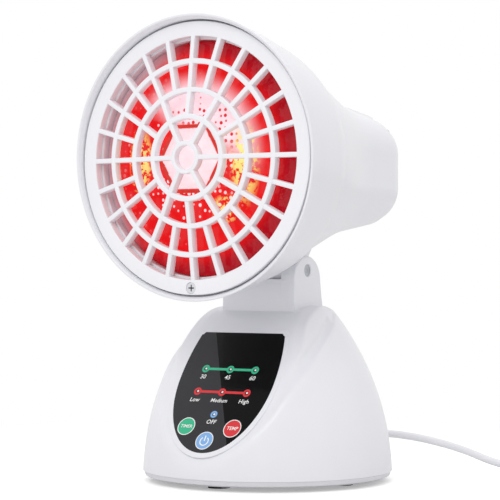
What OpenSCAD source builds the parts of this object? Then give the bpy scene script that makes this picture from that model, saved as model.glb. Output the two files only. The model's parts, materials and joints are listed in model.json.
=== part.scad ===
// Table heat lamp with a tilting round head, a twist-off guard and a touch
// panel on a domed base. Millimetres, +Z up, the lamp faces -Y, the table is
// z = 0 and the origin is the middle of the lamp's footprint box, cord left out.

/* [Base] */
// radius of the dome at the table
dome_r = 69.1; // [60:0.1:80]
// radius of the dome's side arc
dome_arc_r = 152; // [120:1:200]
// height of the dome's flat crown
crown_z = 97.5; // [85:0.5:110]
// radius of the dome's shoulder
shoulder_r = 9; // [4:0.5:14]
// wall of the mouldings
wall = 2.4; // [1.8:0.1:3]
// height of the seam between dome and bottom plate
seam_z = 6; // [5:0.5:9]
// gap under the bottom plate
plate_z = 2.5; // [2:0.1:4]
// thickness of the bottom plate
plate_t = 2.5; // [2:0.1:3.5]
// radius of the rubber feet
foot_r = 6; // [4:0.5:9]
// radius that the feet sit on
foot_ring_r = 48; // [35:1:56]
// step between the cowl and the front face
step = 1.5; // [0.8:0.1:3]
// radius of the cowl's front edge seen from the side
cowl_r = 154.8; // [140:0.1:180]
// centre of that edge, front to back
cowl_y = 72.2; // [60:0.1:90]
// centre of that edge, height
cowl_z = -51; // [-80:0.1:-30]

/* [Panel] */
// slope of the panel
panel_a = 55.7; // [40:0.1:70]
// height of the panel's plane over the dome's axis
panel_z = 116.15; // [100:0.05:130]
// half width of the panel
panel_w = 30.5; // [24:0.5:34]
// distance down the slope to the widest place
panel_v = 71.5; // [60:0.5:80]
// length of the panel under its widest place
panel_low = 45.2; // [38:0.1:48]
// thickness of the panel
panel_t = 1.2; // [0.8:0.1:2]
// radius of a touch key
key_r = 4.75; // [3:0.05:6]
// radius of a lamp window
window_r = 1; // [0.6:0.1:2]

/* [Neck] */
// half width of the neck
neck_w = 23.5; // [18:0.5:28]
// thickness of an ear
ear_t = 8.9; // [5:0.1:10]
// radius of an ear's top
ear_r = 14; // [11:0.5:18]
// height of the ear's round
ear_z = 110; // [105:0.5:116]
// height of the tilt axis
pivot_z = 116; // [112:0.5:120]
// tilt axis behind the dome's axis
pivot_y = 4.5; // [0:0.5:10]
// radius of the lug's end
lug_r = 11.3; // [9:0.1:11.5]
// radius of the pivot screw's shoulder
pivot_r = 2.9; // [2:0.1:3]
// thickness of a friction washer
washer_t = 0.75; // [0.5:0.05:1]

/* [Head] */
// height of the head's axis
head_z = 175.2; // [165:0.1:190]
// outer radius of the rim
rim_r = 76; // [70:0.5:80]
// radius of the bell's rear arc
bell_r = 68; // [60:0.5:72]
// wall of the bell
bell_wall = 2.2; // [1.8:0.1:3]
// half width of the rear housing
tail_w = 29.5; // [26:0.5:32]
// half height of the rear housing
tail_h = 30.2; // [26:0.1:33]
// corner radius of the rear housing
tail_corner = 16.5; // [8:0.5:20]
// rear face behind the dome's axis
rear_y = 96.5; // [90:0.5:100]
// thickness of the rear cover
cover_t = 4.5; // [3:0.5:6]

/* [Guard] */
// outer radius of the guard
guard_r = 72; // [70:0.1:72.4]
// inner radius of the guard's outer ring
guard_open_r = 64; // [62:0.1:66]
// front of the hub ahead of the dome's axis
hub_y = 80.5; // [78:0.1:84]
// width of a bar
bar_w = 2.6; // [2:0.1:4]
// twist that frees the guard, degrees
twist = 14; // [10:1:16]

/* [Bulb] */
// radius of the reflector bulb
bulb_r = 60.5; // [60:0.1:61.5]
// radius over the screw cap's thread
cap_r = 13.05; // [13:0.01:13.2]

/* [Cord] */
// diameter of the cord
cord_d = 4.4; // [4:0.1:6]
// height of the cord's exit
cord_z = 20; // [15:0.5:30]
// outer radius of the coil
coil_r = 36; // [34:1:44]
// loops in a layer of the coil
coil_loops = 4; // [3:1:5]
// radial pitch of the coil
coil_pitch = 5.1; // [5:0.05:6]

/* [Hidden] */
$fn = 96;
fit = 0.05;
base_y = (hub_y - rear_y) / 2;
arc_x = dome_r - dome_arc_r;
pivot_at = [0, base_y + pivot_y, pivot_z];
crest_r = 35;
crest_v = 41.8;
ear_in = neck_w - ear_t;
lug_w = ear_in - washer_t - fit;
// room over each ear: its reach from the pivot at the limits, and a clearance
ear_room = sqrt(ear_r * ear_r - (pivot_z - ear_z) * (pivot_z - ear_z)) + 1.2;
lip_y = -75.2;
lip_tilt = 1.884;
flange_y = -67.6;
flange_t = 2.5;
bell_x = 1.2;
bell_y = -49.4;
join_y = -17.2;
join_x = bell_x + sqrt(bell_r * bell_r - (join_y - bell_y) * (join_y - bell_y));
taper = [[44.1, 28], [39.8, 42], [36.7, 58], [29.2, 90]];
rear_in = rear_y - cover_t;
rings = [[50.9, -74.6], [35.8, -76.3], [21.6, -79.1]];
ring_w = 2.8;
bar_h = 4;
tabs = [90, 210, 330];
tab_a = 6.5;
lock_a = 269;
lock_r = 68.3;
plate_top = plate_z + plate_t;
weight_z = 6;
board_z = 15;
board_t = 1.6;
parts_z = board_z + board_t;
holder_y = 47;
post_x = 21.4;
holder_len = 35;
cord_r = cord_d / 2;
coil_at = [150, 82];
coil_in = coil_r - coil_loops * coil_pitch;
coil_dip = 2;
coil_z = cord_r + 0.8;
layer_z = cord_d + 0.5;
plug_y = 38;
cord_route = [[0, 0.5, 20], [0, 24, 20], [0, 48, 20], [0, 66, 20], [0, 73, 20],
    [3, 80, 20], [9, 86, 19.8], [17, 90, 19.5], [26, 93, 19], [37, 98, 17.3],
    [48, 103, 14.7], [57, 107, 12], [66, 110.5, 8.8], [74, 113.5, 5.4],
    [82, 116, 3], [90, 117.5, 2.2], [100, 118, 2.2], [112, 118, 2.2],
    [125, 118, 2.4], [138, 118, 2.9], [150, 118, 3]];

// ---- shared shapes -------------------------------------------------------

// the dome's own frame: its axis is x = y = 0
module at_base() translate([0, base_y, 0]) children();

// the head's own frame: +z runs to the rear, +y runs down
module at_head() translate([0, base_y, head_z]) rotate([-90, 0, 0]) children();

// the panel's own frame: +y runs up the slope, +z out of the panel
module at_panel() at_base() translate([0, 0, panel_z]) rotate([panel_a, 0, 0]) children();

// a side outline drawn in y and z, w wide in x
module across(w) rotate([90, 0, 90]) linear_extrude(w, center = true) children();

module tube(outer, inner, len) difference() {
    cylinder(r = outer, h = len);
    translate([0, 0, -1]) cylinder(r = inner, h = len + 2);
}

module four(x, y) for (sx = [-1, 1], sy = [-1, 1]) translate([sx * x, sy * y, 0]) children();

// a wedge from angle a0 to a1, seen from the front of the head
module wedge(a0, a1, r) polygon([[0, 0], [r * cos(a0), -r * sin(a0)],
    [r * cos((a0 + a1) / 2), -r * sin((a0 + a1) / 2)], [r * cos(a1), -r * sin(a1)]]);

module sector(r0, r1, a0, a1) intersection() {
    difference() {
        circle(r = r1);
        circle(r = r0);
    }
    wedge(a0, a1, 2 * r1);
}

module around(a, r) rotate([0, 0, -a]) translate([r, 0, 0]) children();

// ---- base ----------------------------------------------------------------

// the dome's solid, set in by i, its crown at height top, from height low up
module dome(i, top, low) {
    reach = dome_arc_r - i - shoulder_r;
    cz = top - shoulder_r;
    cx = arc_x + sqrt(reach * reach - cz * cz) + 0.1;
    touch_z = cz * (1 + shoulder_r / reach);
    rotate_extrude() intersection() {
        translate([0, low]) square([dome_r + 10, crown_z]);
        union() {
            intersection() {
                translate([arc_x, 0]) circle(r = dome_arc_r - i, $fn = 240);
                square([dome_r + 10, touch_z]);
            }
            translate([cx, cz]) circle(r = shoulder_r);
            square([cx, top]);
        }
    }
}

// everything inside the cowl's front edge
module cowl_side(i) translate([cowl_y, cowl_z]) circle(r = cowl_r - i, $fn = 240);

// everything under the panel's plane and the rounded crest, set in by t
module face_side(t) {
    translate([0, panel_z]) rotate(panel_a) {
        translate([-300 - crest_v, -300 - t]) square([300, 300]);
        translate([-crest_v, -crest_r]) circle(r = crest_r - t);
    }
    translate([crest_back(), -60]) square([200, 60 + crest_up()]);
}

function crest_back() = -crest_v * cos(panel_a) + crest_r * sin(panel_a);
function crest_up() = panel_z - crest_v * sin(panel_a) - crest_r * cos(panel_a);

module neck_solid() intersection() {
    union() {
        for (s = [-1, 1]) translate([s * (neck_w - ear_t / 2), 0, 0]) across(ear_t) ear_side();
        across(2 * ear_in + 1) translate([pivot_y - ear_r, 80]) square([2, 31.4]);
    }
    linear_extrude(200) {
        translate([-neck_w, pivot_y - ear_r + 3.5]) square([2 * neck_w, 60]);
        translate([-neck_w + 3.5, pivot_y - ear_r]) square([2 * neck_w - 7, 60]);
        for (s = [-1, 1]) translate([s * (neck_w - 3.5), pivot_y - ear_r + 3.5]) circle(r = 3.5);
    }
}

module ear_side() {
    translate([pivot_y, ear_z]) circle(r = ear_r);
    polygon([[pivot_y - ear_r, 80], [pivot_y - ear_r, ear_z], [pivot_y + ear_r, ear_z],
        [pivot_y + ear_r + 2.5, 95], [pivot_y + ear_r + 3.5, 80]]);
}

module base_room() {
    intersection() {
        dome(wall, crown_z - wall, plate_top - 1);
        across(200) cowl_side(4);
        across(200) face_side(panel_t + 1.6);
    }
    intersection() {
        dome(step + wall + 1.3, crown_z - wall - 2, plate_top - 1);
        across(200) face_side(panel_t + 1.6);
    }
}

module panel_outline(i) {
    side = [for (a = [30:-6:-90]) [(panel_w - i) * cos(a),
        (a > 0 ? 60 : panel_low - i) * sin(a) - panel_v]];
    polygon(concat([for (p = side) [min(p[0], panel_w), min(p[1], -41.5 - i)]],
        [for (k = [len(side) - 2:-1:0]) [-side[k][0], min(side[k][1], -41.5 - i)]]));
}

module base_shell() color("#ECECF0") at_base() difference() {
    union() {
        difference() {
            union() {
                cowl();
                intersection() {
                    dome(step, crown_z - 0.5, seam_z);
                    across(200) face_side(0);
                }
                neck_solid();
            }
            base_room();
            translate([0, 0, seam_z - 0.1]) cylinder(r = 66.75, h = 2.1);
        }
        for (a = [45:90:315]) rotate([0, 0, a]) translate([56, 0, plate_top])
            cylinder(r = 4.2, h = 41);
        translate([0, 0, panel_z]) rotate([panel_a, 0, 0]) posts(3, -9, 7);
    }
    for (a = [45:90:315]) rotate([0, 0, a]) translate([56, 0, 0]) cylinder(r = 1.52, h = 18);
    translate([0, pivot_y, pivot_z]) for (s = [-1, 1]) rotate([0, 90 * s, 0]) {
        translate([0, 0, 10]) cylinder(r = pivot_r + fit, h = 20);
        translate([0, 0, neck_w - 3]) cylinder(r = 3.5, h = 9);
    }
    translate([0, pivot_y, 60]) cylinder(r = 3.5, h = 50);
    translate([0, 50, cord_z]) rotate([-90, 0, 0]) cylinder(r = 5.2, h = 30);
    translate([0, 0, panel_z]) rotate([panel_a, 0, 0]) {
        translate([0, 0, -panel_t]) linear_extrude(9) panel_outline(-0.15);
        for (p = keys()) translate([p[0], p[1], -6]) cylinder(r = 4.4, h = 6);
        for (p = lamps()) translate([p[0], p[1], -6]) cylinder(r = 1.7, h = 6);
        posts(1.02, -9.5, 5);
    }
}

// the outer moulding, open in front where the panel's face lies
module cowl() difference() {
    intersection() {
        dome(0, crown_z, seam_z);
        across(200) cowl_side(0);
    }
    intersection() {
        dome(step, crown_z, seam_z + 4);
        across(200) difference() {
            translate([-100, 0]) square([100 + crest_back(), 200]);
            face_side(0);
        }
    }
}

module posts(r, z, h) for (p = [[-22, -72], [22, -72], [0, -101.5]])
    translate([p[0], p[1], z]) cylinder(r = r, h = h);

function keys() = [[-14.75, -101.2], [14.7, -101.2], [0, -109.3]];
function lamps() = [[-15.9, -65.1], [0, -65.1], [15.9, -65.1], [-15.8, -79.4], [0, -79.4],
    [15.8, -79.4], [0, -93.2]];

module bottom_plate() color("#E4E4E9") at_base() difference() {
    union() {
        rotate_extrude() polygon([[0, plate_z], [65.5, plate_z], [67.6, plate_z + 0.9],
            [68.6, seam_z], [66.7, seam_z], [66.7, seam_z + 2], [64.4, seam_z + 2],
            [64.4, plate_top], [0, plate_top]]);
        four(26, 17) cylinder(r = 3, h = board_z);
    }
    for (a = [45:90:315]) rotate([0, 0, a]) {
        translate([56, 0, 0]) cylinder(r = 1.8, h = 9);
        translate([56, 0, 0]) cylinder(r = 3.4, h = plate_z + 1.2);
    }
    for (a = [0:90:270]) rotate([0, 0, a]) translate([foot_ring_r, 0, 0])
        cylinder(r = foot_r + fit, h = plate_z + 0.5);
    four(26, 17) translate([0, 0, 7]) cylinder(r = 1.27, h = 20);
}

module rubber_feet() color("#3A3A3C") at_base() for (a = [0:90:270]) rotate([0, 0, a])
    translate([foot_ring_r, 0, 0]) cylinder(r = foot_r, h = plate_z + 0.5);

module base_screws() color("#B9BBC0") at_base() for (a = [45:90:315]) rotate([0, 0, a])
    translate([56, 0, 0]) difference() {
        union() {
            translate([0, 0, plate_z + 0.1]) cylinder(r = 3.2, h = 1.1);
            translate([0, 0, plate_z + 0.1]) cylinder(r = 1.5, h = 14);
        }
        for (a2 = [0, 90]) rotate([0, 0, a2]) translate([-1.6, -0.3, 0])
            cube([3.2, 0.6, plate_z + 0.7]);
    }

module ballast_weight() color("#7C7F84") at_base() difference() {
    translate([0, 0, plate_top]) cylinder(r = 50, h = weight_z);
    four(26, 17) cylinder(r = 3.3, h = 40);
}

// ---- panel ---------------------------------------------------------------

module control_panel() color("#141416") at_panel() difference() {
    translate([0, 0, -panel_t]) linear_extrude(panel_t) panel_outline(0);
    for (p = keys()) translate([p[0], p[1], -0.5]) cylinder(r = key_r + 0.3, h = 2);
    for (p = lamps()) translate([p[0], p[1], -5]) cylinder(r = window_r, h = 9);
}

module key(k) at_panel() translate([keys()[k][0], keys()[k][1], -0.5])
    cylinder(r = key_r + 0.3, h = 0.5);

module timer_key() color("#1FA87A") key(0);
module temp_key() color("#D8262C") key(1);
module power_key() color("#7FB2E8") key(2);

module led(p) at_panel() translate([p[0], p[1], -9]) {
    cylinder(r = 1.5, h = 6.4);
    translate([0, 0, 6.4]) cylinder(r1 = 1.5, r2 = 1, h = 1.3);
}

module timer_leds() color("#D7F5E6") for (k = [0:2]) led(lamps()[k]);
module heat_leds() color("#F5DADA") for (k = [3:5]) led(lamps()[k]);
module off_led() color("#DCE4FA") led(lamps()[6]);

module touch_board() color("#1E6B47") at_panel() difference() {
    translate([0, 0, -10.6]) linear_extrude(1.6) difference() {
        panel_outline(4.4);
        translate([-40, -58]) square([80, 40]);
    }
    posts(1.2, -12, 5);
}

module touch_pads() color("#2B2B2E") at_panel() for (p = keys())
    translate([p[0], p[1], -9]) cylinder(r = 4, h = 9 - panel_t);

module touch_screws() color("#B9BBC0") at_panel() {
    posts(2.2, -12.1, 1.5);
    posts(1, -12.1, 7);
}

module panel_ribbon() color("#C9CBD2") at_base() across(12) polygon([
    behind(-96.5), [-40, 23.2], [-30, 21.4], [-22.4, 20.6], [-22, parts_z], [-21, parts_z],
    [-21.4, 21.4], [-30, 22.4], [-40, 24.2], behind(-95.6)]);

// a point on the touch board's rear face, in y and z
function behind(v) = [v * cos(panel_a) + 10.6 * sin(panel_a),
    panel_z + v * sin(panel_a) - 10.6 * cos(panel_a)];

// ---- driver --------------------------------------------------------------

module on_board(x, y) at_base() translate([x, y, parts_z]) children();

module driver_board() color("#2C7A4B") at_base() difference() {
    translate([-33, -24, board_z]) cube([66, 46, board_t]);
    four(26, 17) cylinder(r = 1.4, h = 40);
}

module board_screws() color("#B9BBC0") at_base() four(26, 17) {
    translate([0, 0, parts_z]) cylinder(r = 2.5, h = 1.6);
    translate([0, 0, 8]) cylinder(r = 1.25, h = 9);
}

module relay() color("#2E5FA3") on_board(-15, -9) translate([-7, -9, 0]) cube([14, 18, 15]);

module heatsink() color("#A9ADB4") on_board(-16, 13.5) difference() {
    translate([-5.5, -3, 0]) cube([12, 8, 24]);
    for (k = [0:2]) translate([-3.6 + 3.6 * k, -1, -1]) cube([1.6, 7, 26]);
}

module triac() color("#26262A") on_board(-16, 13.5) {
    translate([-5, -7.5, 4]) cube([10, 4.5, 15]);
    for (x = [-2.5, 0, 2.5]) translate([x - 0.4, -5.6, 0]) cube([0.8, 0.8, 5]);
}

module filter_capacitor() color("#C9A23B") on_board(6, -16) translate([-9, -4, 0])
    cube([18, 8, 14]);

module fuse() color("#D9DCE2") on_board(20, 9.6) {
    translate([-10, 0, 4]) rotate([0, 90, 0]) cylinder(r = 2.6, h = 18);
    for (x = [-9, 4]) translate([x, -1.6, 0]) cube([3, 3.2, 3]);
}

module terminal_block() color("#3E8E5A") on_board(0, pivot_y) difference() {
    translate([-8, -4, 0]) cube([16, 8, 10]);
    for (x = [-4.5, 4.5]) translate([x, 0, 8]) cylinder(r = 2, h = 4);
}

module buzzer() color("#1B1B1D") on_board(23, -9) difference() {
    cylinder(r = 6, h = 9);
    translate([0, 0, 7]) cylinder(r = 1, h = 4);
}

// ---- leads and cord ------------------------------------------------------

module neck_grommet() color("#2C2C2E") at_base() translate([0, pivot_y, 0]) difference() {
    union() {
        translate([0, 0, 91]) cylinder(r = 3.45, h = 7);
        translate([0, 0, 96.9]) cylinder(r = 5, h = 1.4);
    }
    translate([0, 0, 80]) cylinder(r = 2.35, h = 30);
}

// the lead is parted at the tilt axis and its lower half ends there in a ball
module base_lead() color("#D8D8DC") at_base() translate([0, pivot_y, 0]) {
    translate([0, 0, parts_z + 10]) cylinder(r = 2.3, h = pivot_z - parts_z - 10);
    translate([0, 0, pivot_z]) sphere(r = 2.3);
}

lead = [[-1.4, 5.6], [29, 36.2]];
lead_way = [[0, 2.35], [0, 4], [0, 5.8], [0.5, 7.2], [1.6, 8.6], [4, 11.03], [9, 16.1],
    [14, 21.1], [19, 26.1], [24, 31.2], [26.2, 33.1], [28.8, 34.1], [32, 34.2], [38, 34.2],
    [46, 34.2], [54, 34.2], [60, 34.3], [63, 34.9], [65, 36.4], [66, 38.2], [66.2, 39.6]];

module head_lead() color("#D8D8DC") translate(pivot_at)
    pipe([for (q = lead_way) [0, q[0], q[1]]], 2.3, 10, [1, 0, 0]);

// a round rod between two points given in y and z
module rod(a, b, r) translate([0, a[0], a[1]])
    rotate([atan2(b[1] - a[1], b[0] - a[0]) - 90, 0, 0]) cylinder(r = r, h = norm(b - a));

module strain_relief() color("#DDDDE2") at_base() translate([0, 0, cord_z])
    rotate([-90, 0, 0]) difference() {
        union() {
            translate([0, 0, 61]) cylinder(r = 5.15, h = 8);
            translate([0, 0, 60.3]) cylinder(r = 7, h = 3.4);
            translate([0, 0, 68.6]) cylinder(r1 = 5.6, r2 = 3.4, h = 11.4);
        }
        translate([0, 0, 50]) cylinder(r = cord_r + 0.2, h = 40);
    }

function unit(v) = v / norm(v);

// one closed tube through the points, square at both ends
module pipe(p, r, n, w = [0, 0, 1]) {
    last = len(p) - 1;
    ring = [for (i = [0:last]) let (
        t = unit(p[min(i + 1, last)] - p[max(i - 1, 0)]),
        s = unit(cross(t, w)),
        u = cross(s, t))
        for (k = [0:n - 1]) p[i] + r * cos(360 * (k + 0.5) / n) * s
            + r * sin(360 * (k + 0.5) / n) * u];
    sides = [for (i = [0:last - 1], k = [0:n - 1], h = [0, 1]) let (
        a = i * n + k, b = i * n + (k + 1) % n) h == 0 ? [a, b, b + n] : [a, b + n, a + n]];
    ends = [for (k = [1:n - 2]) each [[0, k + 1, k], [last * n, last * n + k, last * n + k + 1]]];
    polyhedron(ring, concat(sides, ends), convexity = 10);
}

// a smooth curve through the route's points, m pieces to a span
function curve(p, m) = concat([for (i = [0:len(p) - 2], j = [0:m - 1]) let (
        a = p[max(i - 1, 0)], b = p[i], c = p[i + 1], d = p[min(i + 2, len(p) - 1)],
        t = j / m, v = 0.5 * ((2 * b) + (c - a) * t + (2 * a - 5 * b + 4 * c - d) * t * t
            + (3 * b - a - 3 * c + d) * t * t * t))
        [v[0], v[1], max(v[2], cord_r)]], [p[len(p) - 1]]);

module power_cord() color("#E6E6EA") pipe(curve(cord_route, 3), cord_r, 10);

// the coil: clockwise in on the lower layer, up, and out on the upper one
function soft(x) = let (q = min(max(x, 0), 1)) q * q * (3 - 2 * q);
coil_down = 360 * coil_loops;
coil_up = 360 * coil_loops - 90;
coil_turn = coil_down + 180 + coil_up;
function coil_rad(a) = a < coil_down ? coil_r - coil_pitch * a / 360
    : a < coil_down + 180 ? coil_in - coil_dip * soft((a - coil_down) / 90)
    : coil_in - coil_dip + (coil_r - coil_in + coil_dip) * (a - coil_down - 180) / coil_up;
function coil_pt(a) = let (r = coil_rad(a)) [coil_at[0] + r * cos(90 - a),
    coil_at[1] + r * sin(90 - a), coil_z + layer_z * soft((a - coil_down) / 180)];
coil_pts = concat([[coil_at[0], coil_at[1] + coil_r, coil_z],
    [coil_at[0] + cord_d, coil_at[1] + coil_r, coil_z]],
    [for (a = [15:15:coil_turn - 15]) coil_pt(a)],
    [[coil_at[0] + coil_r, coil_at[1] + cord_d, coil_z + layer_z],
     [coil_at[0] + coil_r, coil_at[1], coil_z + layer_z]]);

module cord_coil() color("#E6E6EA") pipe(coil_pts, cord_r, 6);

// the least clear gap between any two turns, measured on the coil's points
coil_gap = min([for (i = [0:len(coil_pts) - 13], j = [i + 12:len(coil_pts) - 1])
    norm(coil_pts[i] - coil_pts[j])]) - cord_d;
echo(coil_gap = coil_gap);

// the strap that holds the coil, round all its turns
module cord_tie() color("#D2D3D8") translate([coil_at[0], coil_at[1], 0]) rotate([0, 0, 225])
    translate([10.3, -4, 0]) difference() {
        cube([25.7, 8, 11]);
        translate([0.7, -1, 0.7]) cube([24.3, 10, 9.6]);
    }

end_route = [for (q = [[coil_at[1], 7.9], [72, 7.9], [62, 7.9], [52, 8], [44, 8], [34, 8]])
    [coil_at[0] + coil_r, q[0], q[1]]];
module cord_end() color("#E6E6EA") pipe(curve(end_route, 3), cord_r, 10);

module at_plug() translate([coil_at[0] + coil_r, plug_y, 8]) rotate([90, 0, 0]) children();

module plug_body() color("#E2E2E6") at_plug() difference() {
    union() {
        cylinder(r1 = 3.4, r2 = 5, h = 12);
        translate([0, 0, 10]) linear_extrude(24) {
            square([16, 16], center = true);
            for (s = [-1, 1]) translate([s * 3, 0]) intersection() {
                circle(r = 8);
                square([16, 16], center = true);
            }
        }
    }
    translate([0, 0, -1]) cylinder(r = cord_r + fit, h = 5);
    for (s = [-1, 1]) translate([s * 6.35 - 0.8, -3.2, 29]) cube([1.6, 6.4, 6]);
}

module plug_pins() color("#C8B27A") at_plug() for (s = [-1, 1])
    translate([s * 6.35 - 0.8, -3.2, 29]) cube([1.6, 6.4, 22]);

// ---- head ----------------------------------------------------------------

module bell_side(i) {
    polygon([[0, -79], [rim_r + 0.2 - i, -79], [rim_r - 1.7 - i, -70], [rim_r - 4 - i, -56],
        [bell_x + 67.04 - i, -38], [0, -38]]);
    intersection() {
        translate([bell_x, bell_y]) circle(r = bell_r - i, $fn = 240);
        translate([0, -38]) square([90, 38 + join_y]);
    }
}

module flare_side(i) polygon(concat([[0, join_y - 0.2], [join_x - 0.15 - i, join_y - 0.2]],
    [for (q = taper) [q[0] - i, q[1]]], [[0, taper[len(taper) - 1][1]]]));

module tail_outline(i) {
    square([2 * (tail_w - i), 2 * (tail_h - tail_corner)], center = true);
    square([2 * (tail_w - tail_corner), 2 * (tail_h - i)], center = true);
    four(tail_w - tail_corner, tail_h - tail_corner) circle(r = tail_corner - i);
}

module lug_side() {
    circle(r = lug_r);
    polygon([[-lug_r, 0], [-lug_r, 22], [32, 32], [34, 29.5], [lug_r, 0]]);
}

module head_shell() color("#ECECF0") difference() {
    union() {
        at_head() {
            rotate_extrude() union() {
                bell_side(0);
                flare_side(0);
            }
            translate([0, 0, -4]) linear_extrude(rear_in + 4) tail_outline(0);
        }
        translate(pivot_at) across(2 * lug_w) lug_side();
    }
    at_head() {
        difference() {
            union() {
                rotate_extrude() union() {
                    intersection() {
                        bell_side(bell_wall);
                        translate([0, flange_y + flange_t]) square([90, 90]);
                    }
                    flare_side(bell_wall);
                }
                translate([0, 0, -6]) linear_extrude(rear_in + 16) tail_outline(wall);
            }
            four(post_x, post_x) translate([0, 0, 60]) cylinder(r = 3.4, h = 50);
            for (s = [-1, 1]) translate([s * 24.5 - 4, -5, 66]) cube([8, 10, 16]);
        }
        translate([0, 0, lip_y]) rotate([lip_tilt, 0, 0]) translate([-100, -100, -40])
            cube([200, 200, 40]);
        translate([0, 0, flange_y - 40]) cylinder(r = guard_r + 0.8, h = 40);
        translate([0, 0, -78.1]) cylinder(r1 = 74.3, r2 = 72.7, h = 5.6);
        translate([0, 0, flange_y - 1]) linear_extrude(flange_t + 2) difference() {
            circle(r = guard_open_r + 2);
            sector(62, 70, lock_a - 12, lock_a + twist + 12);
        }
        translate([0, 0, flange_y - 1]) cylinder(r = 62.5, h = flange_t + 2);
        translate([0, 0, flange_y - 1]) linear_extrude(flange_t + 2) {
            for (a = tabs) sector(62, 70.3, a + twist - tab_a - 0.6, a + twist + tab_a + 0.6);
            sector(lock_r - 1.8, lock_r + 1.8, lock_a, lock_a + twist);
            for (a = [lock_a, lock_a + twist]) around(a, lock_r) circle(r = 1.85);
        }
        four(post_x, post_x) translate([0, 0, 76]) cylinder(r = 1.27, h = 20);
        for (s = [-1, 1]) translate([s * 23.6, 0, 70]) cylinder(r = 1.47, h = 20);
    }
    translate(pivot_at) {
        across(6) {
            for (a = [-110, -50]) rotate(a) translate([0, -3]) square([16, 6]);
            intersection() {
                circle(r = 15.6);
                wedge(110, 50, 40);
            }
        }
        rotate([0, 90, 0]) translate([0, 0, -3]) cylinder(r = 4.6, h = 6);
        cylinder(r = 2.7, h = 7.6);
        rod(lead[0], lead[1], 2.6);
        for (s = [-1, 1]) rotate([0, 90 * s, 0]) {
            translate([0, 0, 6]) cylinder(r = 3.2, h = 20);
            translate([0, 0, lug_w]) cylinder(r = ear_room, h = neck_w + 1 - lug_w);
        }
    }
}

module heat_shield() color("#C5C8CC") at_head() rotate_extrude() {
    intersection() {
        difference() {
            bell_side(4.6);
            bell_side(5.2);
        }
        translate([0, -61]) square([90, 53]);
    }
    translate([67, -61]) square([3.4, 0.6]);
}

module rear_cover() color("#E6E6EA") at_head() translate([0, 0, rear_in]) difference() {
    intersection() {
        linear_extrude(cover_t) tail_outline(0);
        rotate_extrude() {
            square([32.5, cover_t]);
            square([36, cover_t - 2.5]);
            translate([32.5, cover_t - 2.5]) circle(r = 2.5);
        }
    }
    for (y = [-12:6:12]) translate([-14, y - 1.2, -1]) cube([28, 2.4, 9]);
    four(post_x, post_x) {
        translate([0, 0, -1]) cylinder(r = 1.5, h = 9);
        translate([0, 0, cover_t - 1.8]) cylinder(r = 2.8, h = 9);
    }
}

module cover_screws() color("#B9BBC0") at_head() four(post_x, post_x) {
    translate([0, 0, rear_y - 1.8]) cylinder(r = 2.6, h = 1.6);
    translate([0, 0, 78]) cylinder(r = 1.25, h = rear_y - 79);
}

module lamp_holder() color("#F2EFE6") at_head() difference() {
    translate([0, 0, holder_y]) cylinder(r = 19.5, h = holder_len);
    translate([0, 0, holder_y - 1]) cylinder(r = 13.9, h = 26);
    translate([0, 0, holder_y]) cylinder(r = 10, h = holder_len - 6);
    translate([0, 0, 70]) cylinder(r = 2.05, h = 20);
}

module holder_liner() color("#C9CCD1") at_head() translate([0, 0, holder_y + 1])
    tube(13.9, cap_r + fit, 24);

module holder_contact() color("#B98B3C") at_head() translate([0, 0, 75]) difference() {
    cylinder(r = 7, h = 1);
    translate([0, 0, -1]) cylinder(r = 2.5, h = 4);
}

module holder_bracket() color("#B7BABF") at_head() difference() {
    translate([-26.5, -9, 82]) cube([53, 18, 1.5]);
    translate([0, 0, 80]) cylinder(r = 2.1, h = 9);
    for (s = [-1, 1]) translate([s * 23.6, 0, 80]) cylinder(r = 1.6, h = 9);
}

module bracket_screws() color("#B9BBC0") at_head() for (s = [-1, 1])
    translate([s * 23.6, 0, 0]) {
        translate([0, 0, 83.5]) cylinder(r = 2.8, h = 1.8);
        translate([0, 0, 73]) cylinder(r = 1.45, h = 11);
    }

module holder_screw() color("#B9BBC0") at_head() {
    translate([0, 0, 83.5]) cylinder(r = 3.6, h = 2.2);
    translate([0, 0, 76.6]) cylinder(r = 2, h = 7);
}

module thermal_cutoff() color("#2B2B2E") at_head() {
    translate([-18, -4, 83.5]) cube([8, 8, 4]);
    for (y = [-2.5, 2.5]) translate([-14, y, 87]) cylinder(r = 0.6, h = 3);
}

module pivot_screws() color("#A9ACB2") translate(pivot_at) for (s = [-1, 1])
    rotate([0, 90 * s, 0]) difference() {
        union() {
            translate([0, 0, neck_w - 3 + fit]) cylinder(r = 3.4, h = 2.2);
            translate([0, 0, lug_w]) cylinder(r = pivot_r, h = neck_w - 2.9 - lug_w);
            translate([0, 0, 6.5]) cylinder(r = 2, h = neck_w - 3 - 6.5);
        }
        translate([0, 0, neck_w - 2]) cylinder(r = 1.5, h = 4, $fn = 6);
    }

module pivot_inserts() color("#C29A4A") translate(pivot_at) for (s = [-1, 1])
    rotate([0, 90 * s, 0]) translate([0, 0, 6]) tube(3.2, 2, lug_w - 6);

module friction_washers() color("#5B5B60") translate(pivot_at) for (s = [-1, 1])
    rotate([0, 90 * s, 0]) translate([0, 0, lug_w]) tube(9, pivot_r + fit, washer_t);

// ---- bulb ----------------------------------------------------------------

function bowl(y, t) = (bulb_r - t) * sqrt((40 - y) / 96);

module bowl_side(t) {
    polygon(concat([[0, -56]], [for (y = [-56:6:34]) [bowl(y, t), y]], [[0, 36]]));
    translate([0, 20]) square([15 - t, 26]);
}

module bulb_lens() color("#B3121C") at_head() rotate_extrude() union() {
    intersection() {
        difference() {
            translate([0, 215]) circle(r = 283, $fn = 720);
            translate([0, 215]) circle(r = 280, $fn = 720);
        }
        translate([0, -70]) square([bulb_r - 1, 13]);
    }
    translate([57.3, -62]) square([bulb_r - 57.3, 6]);
}

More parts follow.
